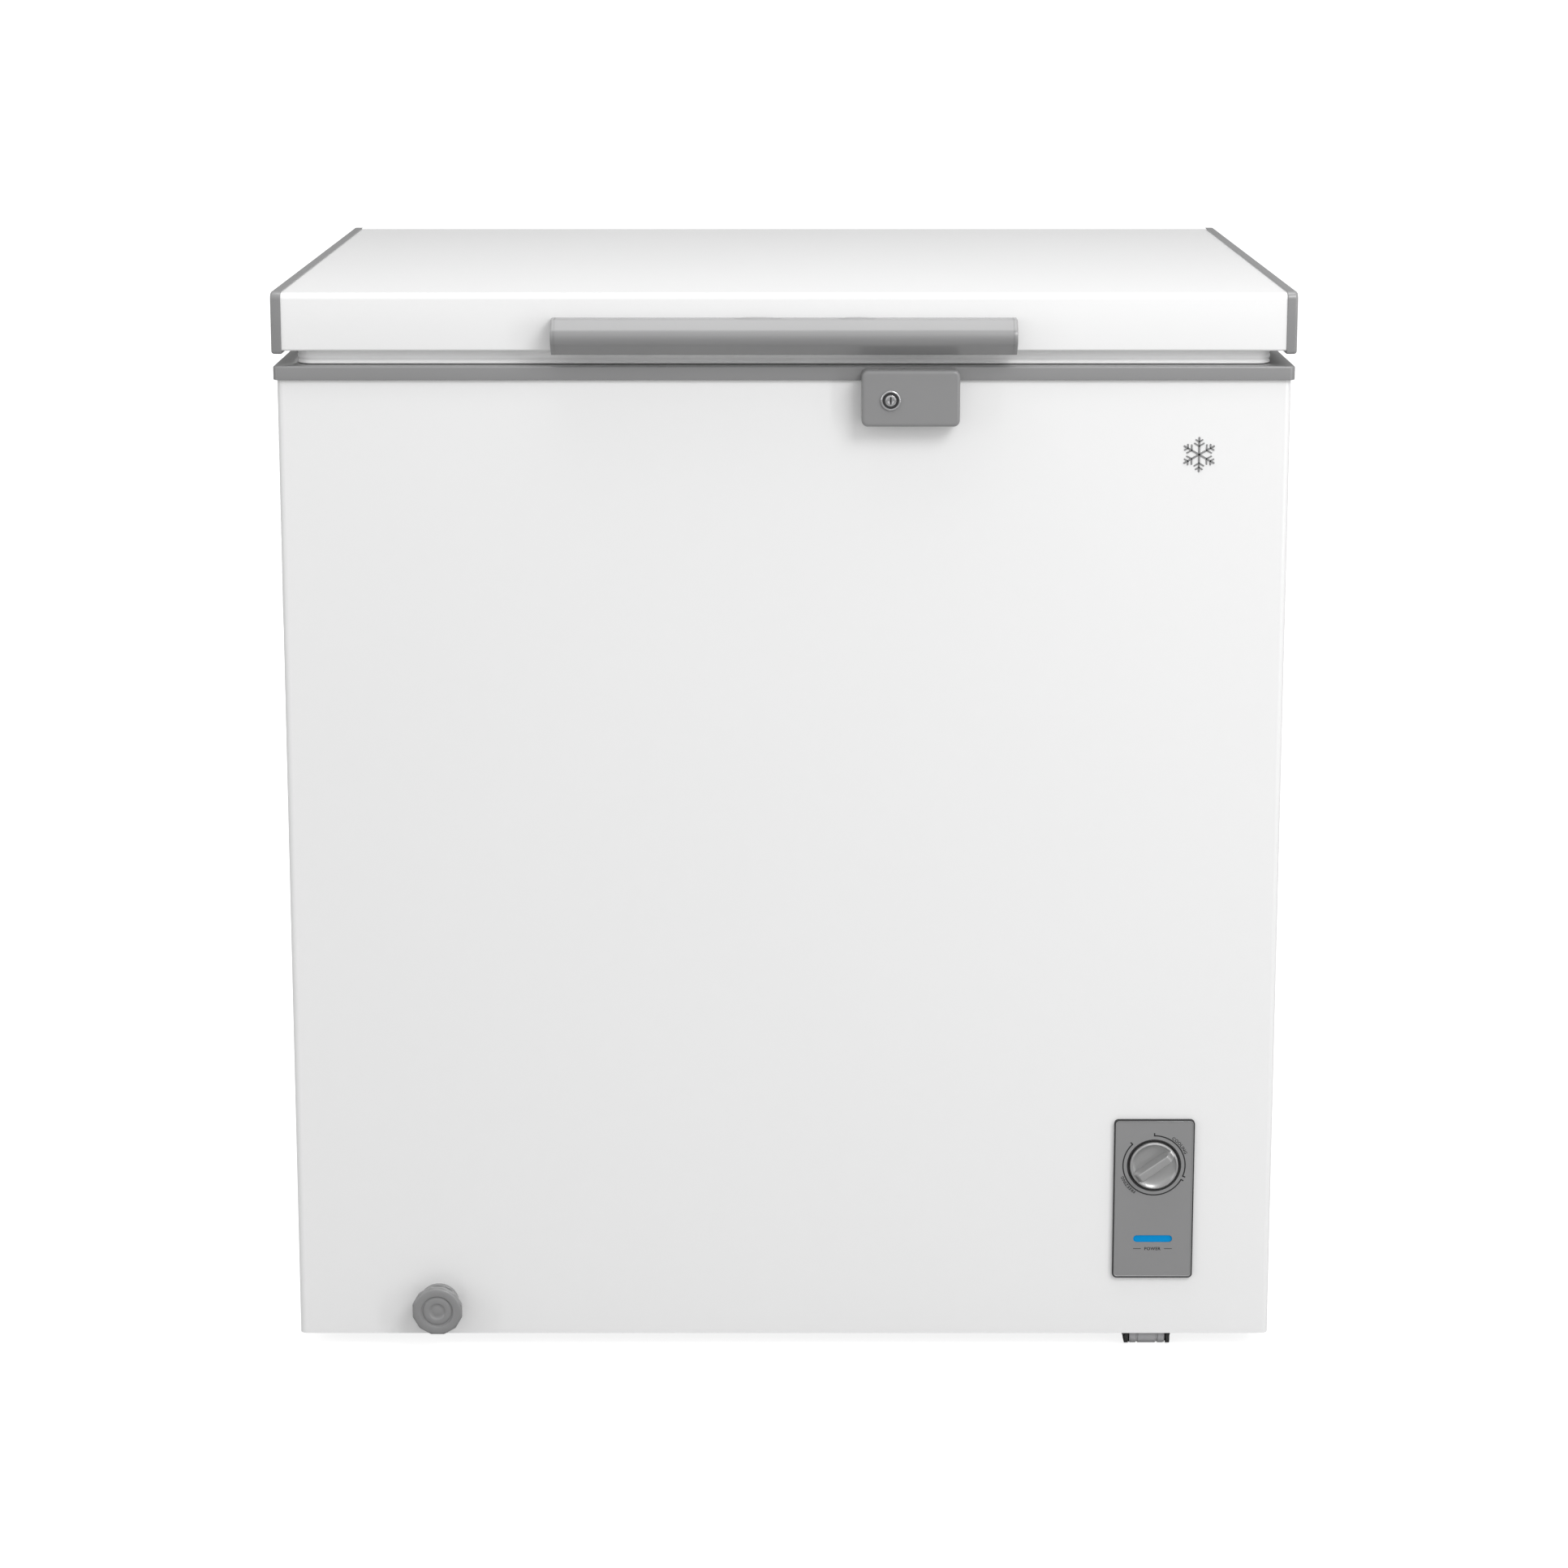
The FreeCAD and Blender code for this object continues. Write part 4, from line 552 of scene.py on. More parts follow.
def make_piece(name, shells, material, body, replaces=(), crease=34.0):
    """One object from closed shells, each an array of rings (stations, points, xyz) and whether its last
    ring joins its first. Its place is in its mesh."""
    vertices, faces, first = [], [], 0
    for rings, looped in shells:
        stations, points = rings.shape[:2]
        vertices.append(rings.reshape(-1, 3))
        faces += shell_faces(stations, points, looped, first)
        first += stations * points
    mesh = bpy.data.meshes.new(name)
    mesh.from_pydata(np.concatenate(vertices), [], faces)
    return finish_piece(name, mesh, material, body, replaces, crease)


def finish_piece(name, mesh, material, body, replaces=(), crease=34.0):
    """Merges doubles, turns the faces outwards, shades smooth up to the crease and fastens the piece."""
    cleaned = bmesh.new()
    cleaned.from_mesh(mesh)
    bmesh.ops.remove_doubles(cleaned, verts=cleaned.verts, dist=1e-6)
    bmesh.ops.recalc_face_normals(cleaned, faces=cleaned.faces)
    cleaned.to_mesh(mesh)
    cleaned.free()
    mesh.polygons.foreach_set("use_smooth", np.ones(len(mesh.polygons), dtype=bool))
    mesh.set_sharp_from_angle(angle=math.radians(crease))
    mesh.update()
    piece = bpy.data.objects.new(name, mesh)
    bpy.context.scene.collection.objects.link(piece)
    mesh.materials.append(material)
    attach(piece, body)
    if replaces:
        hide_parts(*replaces)
    return piece


def quarter(radius, steps=4):
    """Insets and depths of a rounded edge: a quarter circle from (0, radius) to (radius, 0)."""
    angle = np.linspace(0.0, 0.5 * math.pi, steps + 1)
    return zip(radius * (1.0 - np.cos(angle)), radius * (1.0 - np.sin(angle)))


# -----------------------------------------------------------------------------------------------------------
# Operators, one for each piece or group of like pieces
# -----------------------------------------------------------------------------------------------------------
class FREEZER_OT_cabinet(bpy.types.Operator):
    """Give every piece of the frame its finish"""

    bl_idname = "freezer.cabinet"
    bl_label = "Cabinet Finishes"

    def execute(self, context):
        for build, nodes in NODE_FINISHES.items():
            material = build()
            for node in nodes:
                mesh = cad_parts[node].data
                for index in range(len(mesh.materials)):
                    mesh.materials[index] = material
        return {"FINISHED"}


class FREEZER_OT_lid_skin(bpy.types.Operator):
    """Fold the lid's painted sheet: front, top and back in one piece, with hems below"""

    bl_idname = "freezer.lid_skin"
    bl_label = "Lid Skin"

    def execute(self, context):
        size = sizes()
        low, high = extent("lid_sheet")

        def fold(inset):
            """Section (y, z) of one face of the sheet, from hem to hem, drawn in by an inset."""
            y0, y1, z0, z1 = low[1] + inset, high[1] - inset, low[2] + inset, high[2] - inset
            corners = [
                (high[1] - size.hem, z0), (y1, z0), (y1, z1), (y0, z1), (y0, z0), (low[1] + size.hem, z0),
            ]
            bend, lower = size.lid_bend - inset, size.hem_bend - inset
            return rounded_path(corners, [0, lower, bend, bend, lower, 0], steps=8)

        section = np.concatenate([fold(0.0), fold(size.sheet)[::-1]])
        rings = np.stack([facing_side(section, x) for x in (low[0], high[0])])
        make_piece("lid_skin", [(rings, False)], enamel(), "lid", ["lid_sheet"])
        return {"FINISHED"}


class FREEZER_OT_end_caps(bpy.types.Operator):
    """Mould the two grey caps that close the lid's ends"""

    bl_idname = "freezer.end_caps"
    bl_label = "Lid End Caps"

    def execute(self, context):
        rounding = sizes().cap_round
        border, sink = 7.0 * MM, 0.7 * MM
        for node, side in (("lid_end_cap_left", -1.0), ("lid_end_cap_right", 1.0)):
            low, high = extent(node)
            inner = low[0] if side > 0 else high[0]
            outer = high[0] if side > 0 else low[0]
            corners = (low[1:], high[1:], [2.5 * MM, 2.5 * MM, 6.0 * MM, 6.0 * MM])
            stations = [(0.4 * MM, inner), (0.0, inner + side * 0.4 * MM)]
            stations += [(inset, outer - side * depth) for inset, depth in quarter(rounding)]
            sunk = outer - side * sink
            stations += [(border, outer), (border + sink, sunk), (border + 3.0 * sink, sunk)]
            rings = np.stack([facing_side(grown(*corners, inset), x) for inset, x in stations])
            make_piece(node.replace("lid_", "") + "_moulding", [(rings, False)], grey_moulding(), "lid",
                       [node])
        return {"FINISHED"}


class FREEZER_OT_gasket(bpy.types.Operator):
    """Run the soft seal's folded section round the lid"""

    bl_idname = "freezer.gasket"
    bl_label = "Lid Gasket"

    def execute(self, context):
        low, high = extent("lid_gasket")
        corner = 14.0 * MM
        fold = [
            (1.0, 0.0), (0.3, 0.3), (0.1, 1.1), (0.3, 2.0), (0.9, 2.6), (1.1, 3.1), (0.7, 3.6),
            (0.15, 4.4), (0.0, 5.6), (0.15, 6.8), (0.6, 7.4), (0.6, 8.0), (0.1, 8.6), (0.0, 9.6),
            (0.3, 11.0), (1.0, 12.3), (14.6, 12.3), (15.4, 9.0), (15.8, 6.6), (14.6, 5.0),
            (14.4, 4.0), (15.4, 2.6), (15.9, 1.2), (15.0, 0.0),
        ]
        rings = np.stack([
            facing_up(grown(low[:2], high[:2], corner, inset * MM, arc=10), low[2] + rise * MM)
            for inset, rise in fold
        ])
        piece = make_piece("lid_seal", [(rings, True)], soft_seal(), "lid", ["lid_gasket"],
                           60.0)
        smoother = piece.modifiers.new("smooth", "SUBSURF")
        smoother.levels = smoother.render_levels = 1
        return {"FINISHED"}


class FREEZER_OT_rim(bpy.types.Operator):
    """Run the grey frame's section round the mouth, with the basket's ledge inside"""

    bl_idname = "freezer.rim"
    bl_label = "Mouth Frame"

    def execute(self, context):
        size = sizes()
        low, high = extent("top_trim")
        plate, lip, ledge_drop, ledge_reach, ledge = 3.0 * MM, 2.5 * MM, 14.0 * MM, 8.0 * MM, 2.5 * MM
        skirt_drop, skirt_side, skirt_front, proud = 10.8 * MM, 2.5 * MM, 3.0 * MM, 0.7 * MM
        top = high[2]
        outer = (low[:2], high[:2] + (0.0, proud), [5.0 * MM, 5.0 * MM, 1.0 * MM, 1.0 * MM])
        inside = (low[:2] + (skirt_side, skirt_front), high[:2] - (skirt_side, 0.0),
                  [3.0 * MM, 3.0 * MM, 0.4 * MM, 0.4 * MM])
        mouth = (low[:2] + (size.rim_side, size.rim_front), high[:2] - (size.rim_side, size.rim_rear),
                 23.5 * MM)
        edge = 0.4 * MM
        stations = [(outer, edge, skirt_drop), (outer, 0.0, skirt_drop - edge)]
        stations += [(outer, inset, depth) for inset, depth in quarter(size.trim_round)]
        stations += [(mouth, -1.2 * MM, 0.0), (mouth, -0.35 * MM, 0.35 * MM), (mouth, 0.0, 1.2 * MM)]
        stations += [(mouth, 0.0, ledge_drop - edge), (mouth, edge, ledge_drop)]
        stations += [(mouth, ledge_reach - edge, ledge_drop), (mouth, ledge_reach, ledge_drop + edge)]
        stations += [(mouth, ledge_reach, ledge_drop + ledge - edge)]
        stations += [(mouth, ledge_reach - edge, ledge_drop + ledge)]
        stations += [(mouth, -lip, ledge_drop + ledge), (mouth, -lip, plate), (inside, 0.0, plate)]
        stations += [(inside, 0.0, skirt_drop)]
        rings = np.stack([
            facing_up(grown(*shape, inset, arc=10), top - drop) for shape, inset, drop in stations
        ])
        make_piece("mouth_frame", [(rings, True)], grey_moulding(), "cabinet", ["top_trim"])
        return {"FINISHED"}


class FREEZER_OT_handle(bpy.types.Operator):
    """Shape the bar handle: a convex front on a flat shelf, hollow below, with closed ends"""

    bl_idname = "freezer.handle"
    bl_label = "Handle"

    def execute(self, context):
        size = sizes()
        low, high = extent("handle")
        wall, face = size.handle_wall, high[1]
        reach, rise = high[1] - low[1], high[2] - low[2]
        crest = 0.5 * rise

        def front(inset):
            """Front (y, z): from the shelf's edge down to a rounded crest, and back under to the foot."""
            top = (face - size.handle_shelf + 0.4 * inset, high[2] - inset)
            belly = (face - reach - 0.9 * MM + inset, low[2] + crest)
            foot = (face - size.handle_foot + 1.3 * inset, low[2])
            return np.array([top, belly, foot])

        start = np.array([face, high[2]])
        outer = rounded_path([start, *front(0.0)], [0, 1.4 * MM, 9.0 * MM, 0], steps=12)
        inner = rounded_path(front(wall), [0, 7.0 * MM, 0], steps=12)
        section = np.concatenate([outer, inner[::-1], [(face, high[2] - wall)]])
        join = 0.3 * MM
        bar = np.stack([facing_side(section, x) for x in (low[0] + wall - join, high[0] - wall + join)])
        closed = np.concatenate([outer, [(face, low[2])]])
        anchor = np.array([face, 0.5 * (low[2] + high[2])])
        shells = [(bar, False)]
        for end, side in ((low[0], 1.0), (high[0], -1.0)):
            stations = [(0.975, 0.0), (0.992, 0.1), (1.0, 0.4), (1.0, wall / MM)]
            rings = [facing_side(anchor + (closed - anchor) * scale, end + side * depth * MM)
                     for scale, depth in stations]
            shells.append((np.stack(rings), False))
        flange = [(low[0] + wall, low[2] + 11.0 * MM), (high[0] - wall, high[2] - wall), 1.0 * MM]
        plate = [(0.0, 0.0), (0.0, 1.8), (0.4, 2.2), (0.8, 2.2)]
        rings = [facing_front(grown(*flange, inset * MM), face - depth * MM) for inset, depth in plate]
        shells.append((np.stack(rings), False))
        make_piece("bar_handle", shells, grey_moulding(), "lid", ["handle"])

        pads = []
        for x, half in ((-20.0 * MM, 19.5 * MM), (55.5 * MM, 15.5 * MM)):
            pads.append((lens_pad((x, face - 6.5 * MM, high[2] - 0.3 * MM), half, 5.2 * MM, 1.3 * MM), False))
        make_piece("handle_plugs", pads, grey_moulding(), "lid")
        return {"FINISHED"}


def lens_pad(hub, half_length, half_width, rise, steps=6):
    """Low oval dome on a level face: ellipses that shrink as a quarter circle while they rise."""
    angle = np.linspace(0.0, 2.0 * math.pi, 48, endpoint=False)
    rings = []
    for turn in np.linspace(0.0, 0.46 * math.pi, steps):
        shrink, height = math.cos(turn), rise * math.sin(turn)
        around = [hub[0] + half_length * shrink * np.cos(angle), hub[1] + half_width * shrink * np.sin(angle)]
        rings.append(np.column_stack([*around, np.full(len(angle), hub[2] + height)]))
    return np.stack(rings)


class FREEZER_OT_lock(bpy.types.Operator):
    """Mould the lock's soft-edged case, open at the back and slotted for the cam, and dress the key's face,
    with a black ring and a black keyway that are painted shade of the gaps
    """

    bl_idname = "freezer.lock"
    bl_label = "Lock"

    def execute(self, context):
        low, high = extent("lock_housing")
        wall, edge = 2.5 * MM, sizes().lock_edge
        back = extent("outer_wrap")[0][1]
        outline = ((low[0], low[2]), (high[0], high[2]), 5.0 * MM)
        stations = [(wall, low[1] + wall), (wall, back), (0.0, back)]
        stations += [(inset, low[1] + depth) for inset, depth in quarter(edge, 8)]
        stations += [(edge + 2.0 * MM, low[1])]
        rings = np.stack([facing_front(grown(*outline, inset, arc=10), y) for inset, y in stations])
        piece = make_piece("lock_case", [(rings, False)], grey_moulding(), "cabinet",
                           ["lock_housing"])
        barrel, cam = centre("lock_barrel"), extent("lock_cam")
        swing = cam[1][0] - barrel[0]
        cut_away(piece, (barrel[0] - 9.0 * MM, cam[0][1] - 1.0 * MM, barrel[2]),
                 (barrel[0] + swing * 0.25, back + 1.0 * MM, high[2] + 1.0 * MM))

        front = extent("lock_barrel")[0][1]
        # The black band between the rim and the plug is painted shade of the gap round the plug.
        band = [(4.3, 0.2), (4.3, 1.1), (6.1, 1.1), (6.1, 0.15), (5.8, -0.15), (5.2, -0.2), (4.6, -0.1)]
        rim = [(6.1, 1.1), (7.6, 1.1), (7.6, 0.2), (7.3, -0.15), (6.8, -0.3), (6.3, -0.2), (6.1, 0.1)]
        core = [(0.3, 0.9), (1.3, 0.85), (1.6, 0.2), (2.4, -0.1), (3.4, -0.1), (3.9, 0.1), (4.2, 0.7),
                (4.2, 1.2), (0.3, 1.2)]
        for name, profile, material, body, slot in (
            ("lock_ring_painted_shade", band, black_moulding_and_painted_shade(), "cabinet", "black_plastic"),
            ("lock_rim", rim, chrome(), "cabinet", "chrome"),
            ("lock_plug", core, chrome(), "lock", "chrome"),
        ):
            rings = turned([(radius * MM, front + depth * MM) for radius, depth in profile], barrel, 64)
            make_piece(name, [(rings, True)], material, body)
        middle, half_slit = barrel[[0, 2]], np.array([0.6, 2.9]) * MM
        slit = (middle - half_slit, middle + half_slit, 0.5 * MM)
        # The black keyway slab is painted shade of the slot.
        rings = np.stack([facing_front(grown(*slit, inset * MM, arc=4), front + depth * MM)
                          for inset, depth in ((0.0, 1.2), (0.0, -0.12), (0.1, -0.16), (0.4, -0.16))])
        make_piece("lock_keyway_painted_shade", [(rings, False)], black_moulding_and_painted_shade(), "lock")
        return {"FINISHED"}


def cut_away(piece, low, high):
    """Takes a box out of a piece."""
    x, y, z = np.meshgrid(*zip(low, high), indexing="ij")
    corners = np.column_stack([x.ravel(), y.ravel(), z.ravel()])
    faces = [(0, 1, 3, 2), (4, 6, 7, 5), (0, 4, 5, 1), (2, 3, 7, 6), (0, 2, 6, 4), (1, 5, 7, 3)]
    mesh = bpy.data.meshes.new("cutter")
    mesh.from_pydata(corners, [], faces)
    cutter = bpy.data.objects.new("cutter", mesh)
    bpy.context.scene.collection.objects.link(cutter)
    difference = piece.modifiers.new("cut", "BOOLEAN")
    difference.object = cutter
    difference.solver = "EXACT"
    evaluated = piece.evaluated_get(bpy.context.evaluated_depsgraph_get())
    shaped = bpy.data.meshes.new_from_object(evaluated)
    piece.modifiers.remove(difference)
    bpy.data.objects.remove(cutter)
    piece.data = shaped


def ribbon_arc(hub, radius, width, start, end, back, front, steps=48):
    """Flat printed arc about the hub in the plane of the panel. Angles in degrees above +X."""
    angle = np.radians(np.linspace(start, end, steps + 1))
    rings = []
    for r, y in ((radius - width / 2, back), (radius + width / 2, back), (radius + width / 2, front),
                 (radius - width / 2, front)):
        around = [hub[0] + r * np.cos(angle), np.full(len(angle), y), hub[2] + r * np.sin(angle)]
        rings.append(np.column_stack(around))
    return np.stack(rings, axis=1)


def spoke(hub, inner, outer, width, angle, back, front):
    """Flat printed tick that points away from the hub."""
    along = np.array([math.cos(math.radians(angle)), math.sin(math.radians(angle))])
    across = np.array([-along[1], along[0]]) * width / 2
    spot = np.array([hub[0], hub[2]])
    outline = np.array([spot + along * inner - across, spot + along * outer - across,
                        spot + along * outer + across, spot + along * inner + across])
    return np.stack([facing_front(outline, back), facing_front(outline, front)])


def word_mesh(words, height, spacing=1.0):
    """Mesh of a word in the plane z = 0, scaled to a capital's height and centred on x = 0."""
    text = bpy.data.curves.new("word", "FONT")
    text.body = words
    text.size = 1.0
    text.space_character = spacing
    text.extrude = 0.01
    text.offset = 0.022
    holder = bpy.data.objects.new("word", text)
    bpy.context.scene.collection.objects.link(holder)
    bpy.context.view_layer.update()
    evaluated = holder.evaluated_get(bpy.context.evaluated_depsgraph_get())
    mesh = bpy.data.meshes.new_from_object(evaluated)
    bpy.data.objects.remove(holder)
    bpy.data.curves.remove(text)
    points = np.empty(len(mesh.vertices) * 3)
    mesh.vertices.foreach_get("co", points)
    points = points.reshape(-1, 3)
    scale = height / np.ptp(points[:, 1])
    points[:, 0] = (points[:, 0] - (points[:, 0].min() + points[:, 0].max()) / 2) * scale
    points[:, 1] = (points[:, 1] - points[:, 1].min()) * scale
    points[:, 2] = np.where(points[:, 2] > 0.0, 1.0, 0.0)
    return mesh, points


class FREEZER_OT_panel(bpy.types.Operator):
    """Print the dial's scale, its words and the power light's caption on the control panel, and paint a black
    ring of painted shade round the dial's cup
    """

    bl_idname = "freezer.panel"
    bl_label = "Panel Prints"

    def execute(self, context):
        size = sizes()
        low, high = extent("control_panel")
        hub, face = centre("temperature_dial"), low[1]
        back, front = face + 0.02 * MM, face - size.print_height
        radius, line, tick = size.scale_radius, size.scale_line, 2.2 * MM
        # The first ring, just outside the dial's cup, is painted shade: black ink where the gap round the
        # dial is dark.
        shells = [(ribbon_arc(hub, 20.9 * MM, 1.2 * MM, 0.0, 359.9, back, front, 96), False)]
        for start, end in ((90.0, -21.4), (-28.6, -225.4)):
            shells.append((ribbon_arc(hub, radius, line, start, end, back, front), False))
            for angle in (start, end):
                shells.append((spoke(hub, radius - line / 2, radius + tick, line, angle, back, front), False))
        lens = centre("power_lens")
        caption = lens[2] - 8.3 * MM
        for side in (-1.0, 1.0):
            near, far = sorted((lens[0] + side * 9.2 * MM, lens[0] + side * 15.4 * MM))
            dash = np.array([(near, caption - 0.2 * MM), (far, caption - 0.2 * MM),
                             (far, caption + 0.25 * MM), (near, caption + 0.25 * MM)])
            shells.append((np.stack([facing_front(dash, back), facing_front(dash, front)]), False))
        make_piece("panel_scale_and_gap_shade", shells, ink(), "cabinet")
        self.border(low, high, face)
        for words, middle in (("COOLING", 39.5), ("FREEZING", 218.5)):
            self.bent_word(words, middle, hub, back, front)
        mesh, points = word_mesh("POWER", 2.6 * MM, 1.1)
        places = np.column_stack([
            lens[0] + points[:, 0],
            np.where(points[:, 2] > 0.5, front, back),
            caption - 1.3 * MM + points[:, 1],
        ])
        mesh.vertices.foreach_set("co", places.ravel())
        finish_piece("word_power", mesh, ink(), "cabinet")
        return {"FINISHED"}

    def border(self, low, high, face):
        """Edge of the panel: a black line of painted shade where it meets the door skin, standing in for its
        shaded side wall, and a raised bead just inside it.
        """
        outline = ((low[0], low[2]), (high[0], high[2]), 3.2 * MM)
        skin = extent("outer_wrap")[0][1]
        edge = [(-0.3, skin), (-0.3, face - 0.1 * MM), (0.0, face - 0.25 * MM), (0.5, face - 0.25 * MM),
                (0.6, face + 0.4 * MM), (0.6, skin)]
        bead = [(0.6, face + 0.4 * MM), (0.65, face - 0.15 * MM), (1.0, face - 0.4 * MM),
                (1.35, face - 0.3 * MM), (1.7, face + 0.1 * MM), (1.7, face + 0.4 * MM)]
        for name, stations, material in (
            # The black edge ring is painted shade of the panel's side wall.
            ("panel_edge_painted_shade", edge, black_moulding_and_painted_shade()),
            ("panel_bead", bead, grey_moulding()),
        ):
            rings = np.stack([facing_front(grown(*outline, inset * MM, arc=8), y) for inset, y in stations])
            make_piece(name, [(rings, True)], material, "cabinet")

    def bent_word(self, words, middle, hub, back, front):
        """Lays a word along the scale, tops outwards: x turns into an angle and y into a radius."""
        baseline = sizes().scale_radius + 1.0 * MM
        mesh, points = word_mesh(words, sizes().word_height, 1.12)
        angle = math.radians(middle) - points[:, 0] / baseline
        reach = baseline + points[:, 1]
        places = np.column_stack([
            hub[0] + reach * np.cos(angle),
            np.where(points[:, 2] > 0.5, front, back),
            hub[2] + reach * np.sin(angle),
        ])
        mesh.vertices.foreach_set("co", places.ravel())
        finish_piece("word_" + words.lower(), mesh, ink(), "cabinet")


class FREEZER_OT_dial(bpy.types.Operator):
    """Turn the dial's dished disc and set the tapered grip across it"""

    bl_idname = "freezer.dial"
    bl_label = "Temperature Dial"

    def execute(self, context):
        low, high = extent("temperature_dial")
        hub = centre("temperature_dial")
        back, grip_front = high[1], low[1]
        panel_face = extent("control_panel")[0][1]
        rim = panel_face - 2.4 * MM
        profile = [(18.6, 0.0), (19.3, 0.6)]
        disc = [(radius * MM, back - depth * MM) for radius, depth in profile]
        disc += [(19.3 * MM, rim + 1.6 * MM), (19.1 * MM, rim + 0.8 * MM), (18.6 * MM, rim + 0.25 * MM),
                 (18.0 * MM, rim), (17.6 * MM, rim + 0.1 * MM), (17.0 * MM, rim + 0.6 * MM),
                 (16.2 * MM, rim + 1.3 * MM), (14.0 * MM, rim + 2.1 * MM), (8.0 * MM, rim + 2.7 * MM),
                 (0.5 * MM, rim + 2.8 * MM)]
        shells = [(turned(disc, hub, 96), False)]
        shells.append((self.grip(hub, rim, grip_front), False))
        make_piece("dial_knob", shells, satin_moulding(), "dial", ["temperature_dial"], 25.0)
        make_piece("dial_white_dot", [(self.pip(hub, rim), False)], white_moulding(), "dial")
        return {"FINISHED"}

    def grip(self, hub, rim, crest):
        """Bar across the dial. Along u its section is a trapezium with a rounded crest; its height rises
        from both ends as a half-period cosine, and it narrows a little towards the pointer."""
        turn = math.radians(36.0)
        reach, foot = 18.0 * MM, rim + 2.7 * MM
        along = np.linspace(-1.0, 1.0, 41)
        lift = np.clip((1.0 - np.abs(along)) / 0.26, 0.0, 1.0)
        lift = 0.5 - 0.5 * np.cos(math.pi * lift)
        height = (foot - crest) * (0.34 + 0.66 * lift)
        width = sizes().grip_width * (1.0 - 0.08 * along) * np.sqrt(1.0 - 0.25 * np.abs(along) ** 8)
        section = rounded_path([(-0.56, 0.0), (-0.40, 1.0), (0.40, 1.0), (0.56, 0.0)], [0, 0.14, 0.14, 0], 5)
        rings = []
        for u, high, wide in zip(along * reach, height, width):
            v, lifted = section[:, 0] * wide, section[:, 1] * high
            rings.append(np.column_stack([
                hub[0] + u * math.cos(turn) - v * math.sin(turn),
                foot - lifted,
                hub[2] + u * math.sin(turn) + v * math.cos(turn),
            ]))
        return np.stack(rings)

    def pip(self, hub, rim):
        """Small raised white dot on the disc near the tail of the grip."""
        angle = math.radians(230.0)
        spot = (hub[0] + 16.6 * MM * math.cos(angle), hub[2] + 16.6 * MM * math.sin(angle))
        stations = [(0.9, 1.2), (0.85, 0.2), (0.6, -0.1), (0.2, -0.15)]
        return np.stack([
            facing_front(circle(radius * MM, 24) + spot, rim + depth * MM) for radius, depth in stations
        ])


class FREEZER_OT_drain(bpy.types.Operator):
    """Mould the drain's cap: a ringed face on a flange with flats for the fingers"""

    bl_idname = "freezer.drain"
    bl_label = "Drain Cap"

    def execute(self, context):
        low, high = extent("drain_cap")
        hub, face, back = centre("drain_cap"), low[1], high[1]
        profile = [
            (8.6, 9.4), (8.6, 13.0), (14.6, 13.0), (15.2, 12.4), (15.4, 5.6), (19.0, 4.8), (19.6, 4.2),
            (19.8, 1.9), (19.7, 0.9), (19.2, 0.3), (18.4, 0.0), (14.0, 0.0), (13.4, 0.15), (13.1, 0.6),
            (12.8, 1.3), (12.2, 1.6), (11.7, 1.4), (11.2, 1.0), (10.4, 0.7), (7.4, 0.6), (6.8, 0.75),
            (6.3, 1.2), (5.6, 1.5), (4.4, 1.65), (3.2, 1.35), (2.0, 1.15), (0.4, 1.1),
        ]
        scale = (high[0] - low[0]) / 2 / 20.2
        rings = turned([(radius * scale, face + depth * MM) for radius, depth in profile], hub, 96)
        shells = [(rings, False), (self.flange(hub, face + 1.7 * MM, face + 5.2 * MM), False)]
        make_piece("drain_knob", shells, grey_moulding(), "spout_cap", ["drain_cap"], 40.0)
        return {"FINISHED"}

    def flange(self, hub, front, back):
        """Flange with flats: the radius is that of a regular polygon, held below a circle at its corners."""
        count = sizes().cap_grips
        angle = np.linspace(0.0, 2.0 * math.pi, 240, endpoint=False)
        half = math.pi / count
        flat = 19.7 / np.cos((angle + half) % (2.0 * half) - half)
        outline = np.minimum(flat, 20.3)
        rings = []
        for inset, y in ((1.0, front), (0.2, front + 0.6 * MM), (0.0, front + 1.4 * MM),
                         (0.0, back - 1.0 * MM), (0.5, back)):
            radius = (outline - inset) * MM
            rings.append(np.column_stack([
                hub[0] + radius * np.cos(angle), np.full(len(angle), y), hub[2] + radius * np.sin(angle),
            ]))
        return np.stack(rings)


class FREEZER_OT_casters(bpy.types.Operator):
    """Turn the two grey rollers, with a groove each side of the tread"""

    bl_idname = "freezer.casters"
    bl_label = "Caster Wheels"

    def execute(self, context):
        bore = 2.62 * MM
        for which in ("front", "rear"):
            node = which + "_caster_wheel"
            low, high = extent(node)
            hub, radius, half = centre(node), (high[2] - low[2]) / 2, (high[0] - low[0]) / 2
            side = [
                (bore, half), (5.2 * MM, half), (5.6 * MM, half - 0.8 * MM), (8.4 * MM, half - 0.8 * MM),
                (8.8 * MM, half), (radius - 1.2 * MM, half), (radius - 0.35 * MM, half - 0.35 * MM),
                (radius, half - 1.2 * MM), (radius, half - 5.0 * MM),
                (radius - 0.7 * MM, half - 5.6 * MM), (radius - 0.7 * MM, half - 6.6 * MM),
                (radius, half - 7.2 * MM),
            ]
            profile = [(r, hub[0] + x) for r, x in side] + [(r, hub[0] - x) for r, x in side[::-1]]
            rings = turned_about_x(profile, hub)
            make_piece(which + "_roller", [(rings, True)], nylon(), which + "_wheel", [node])
        return {"FINISHED"}


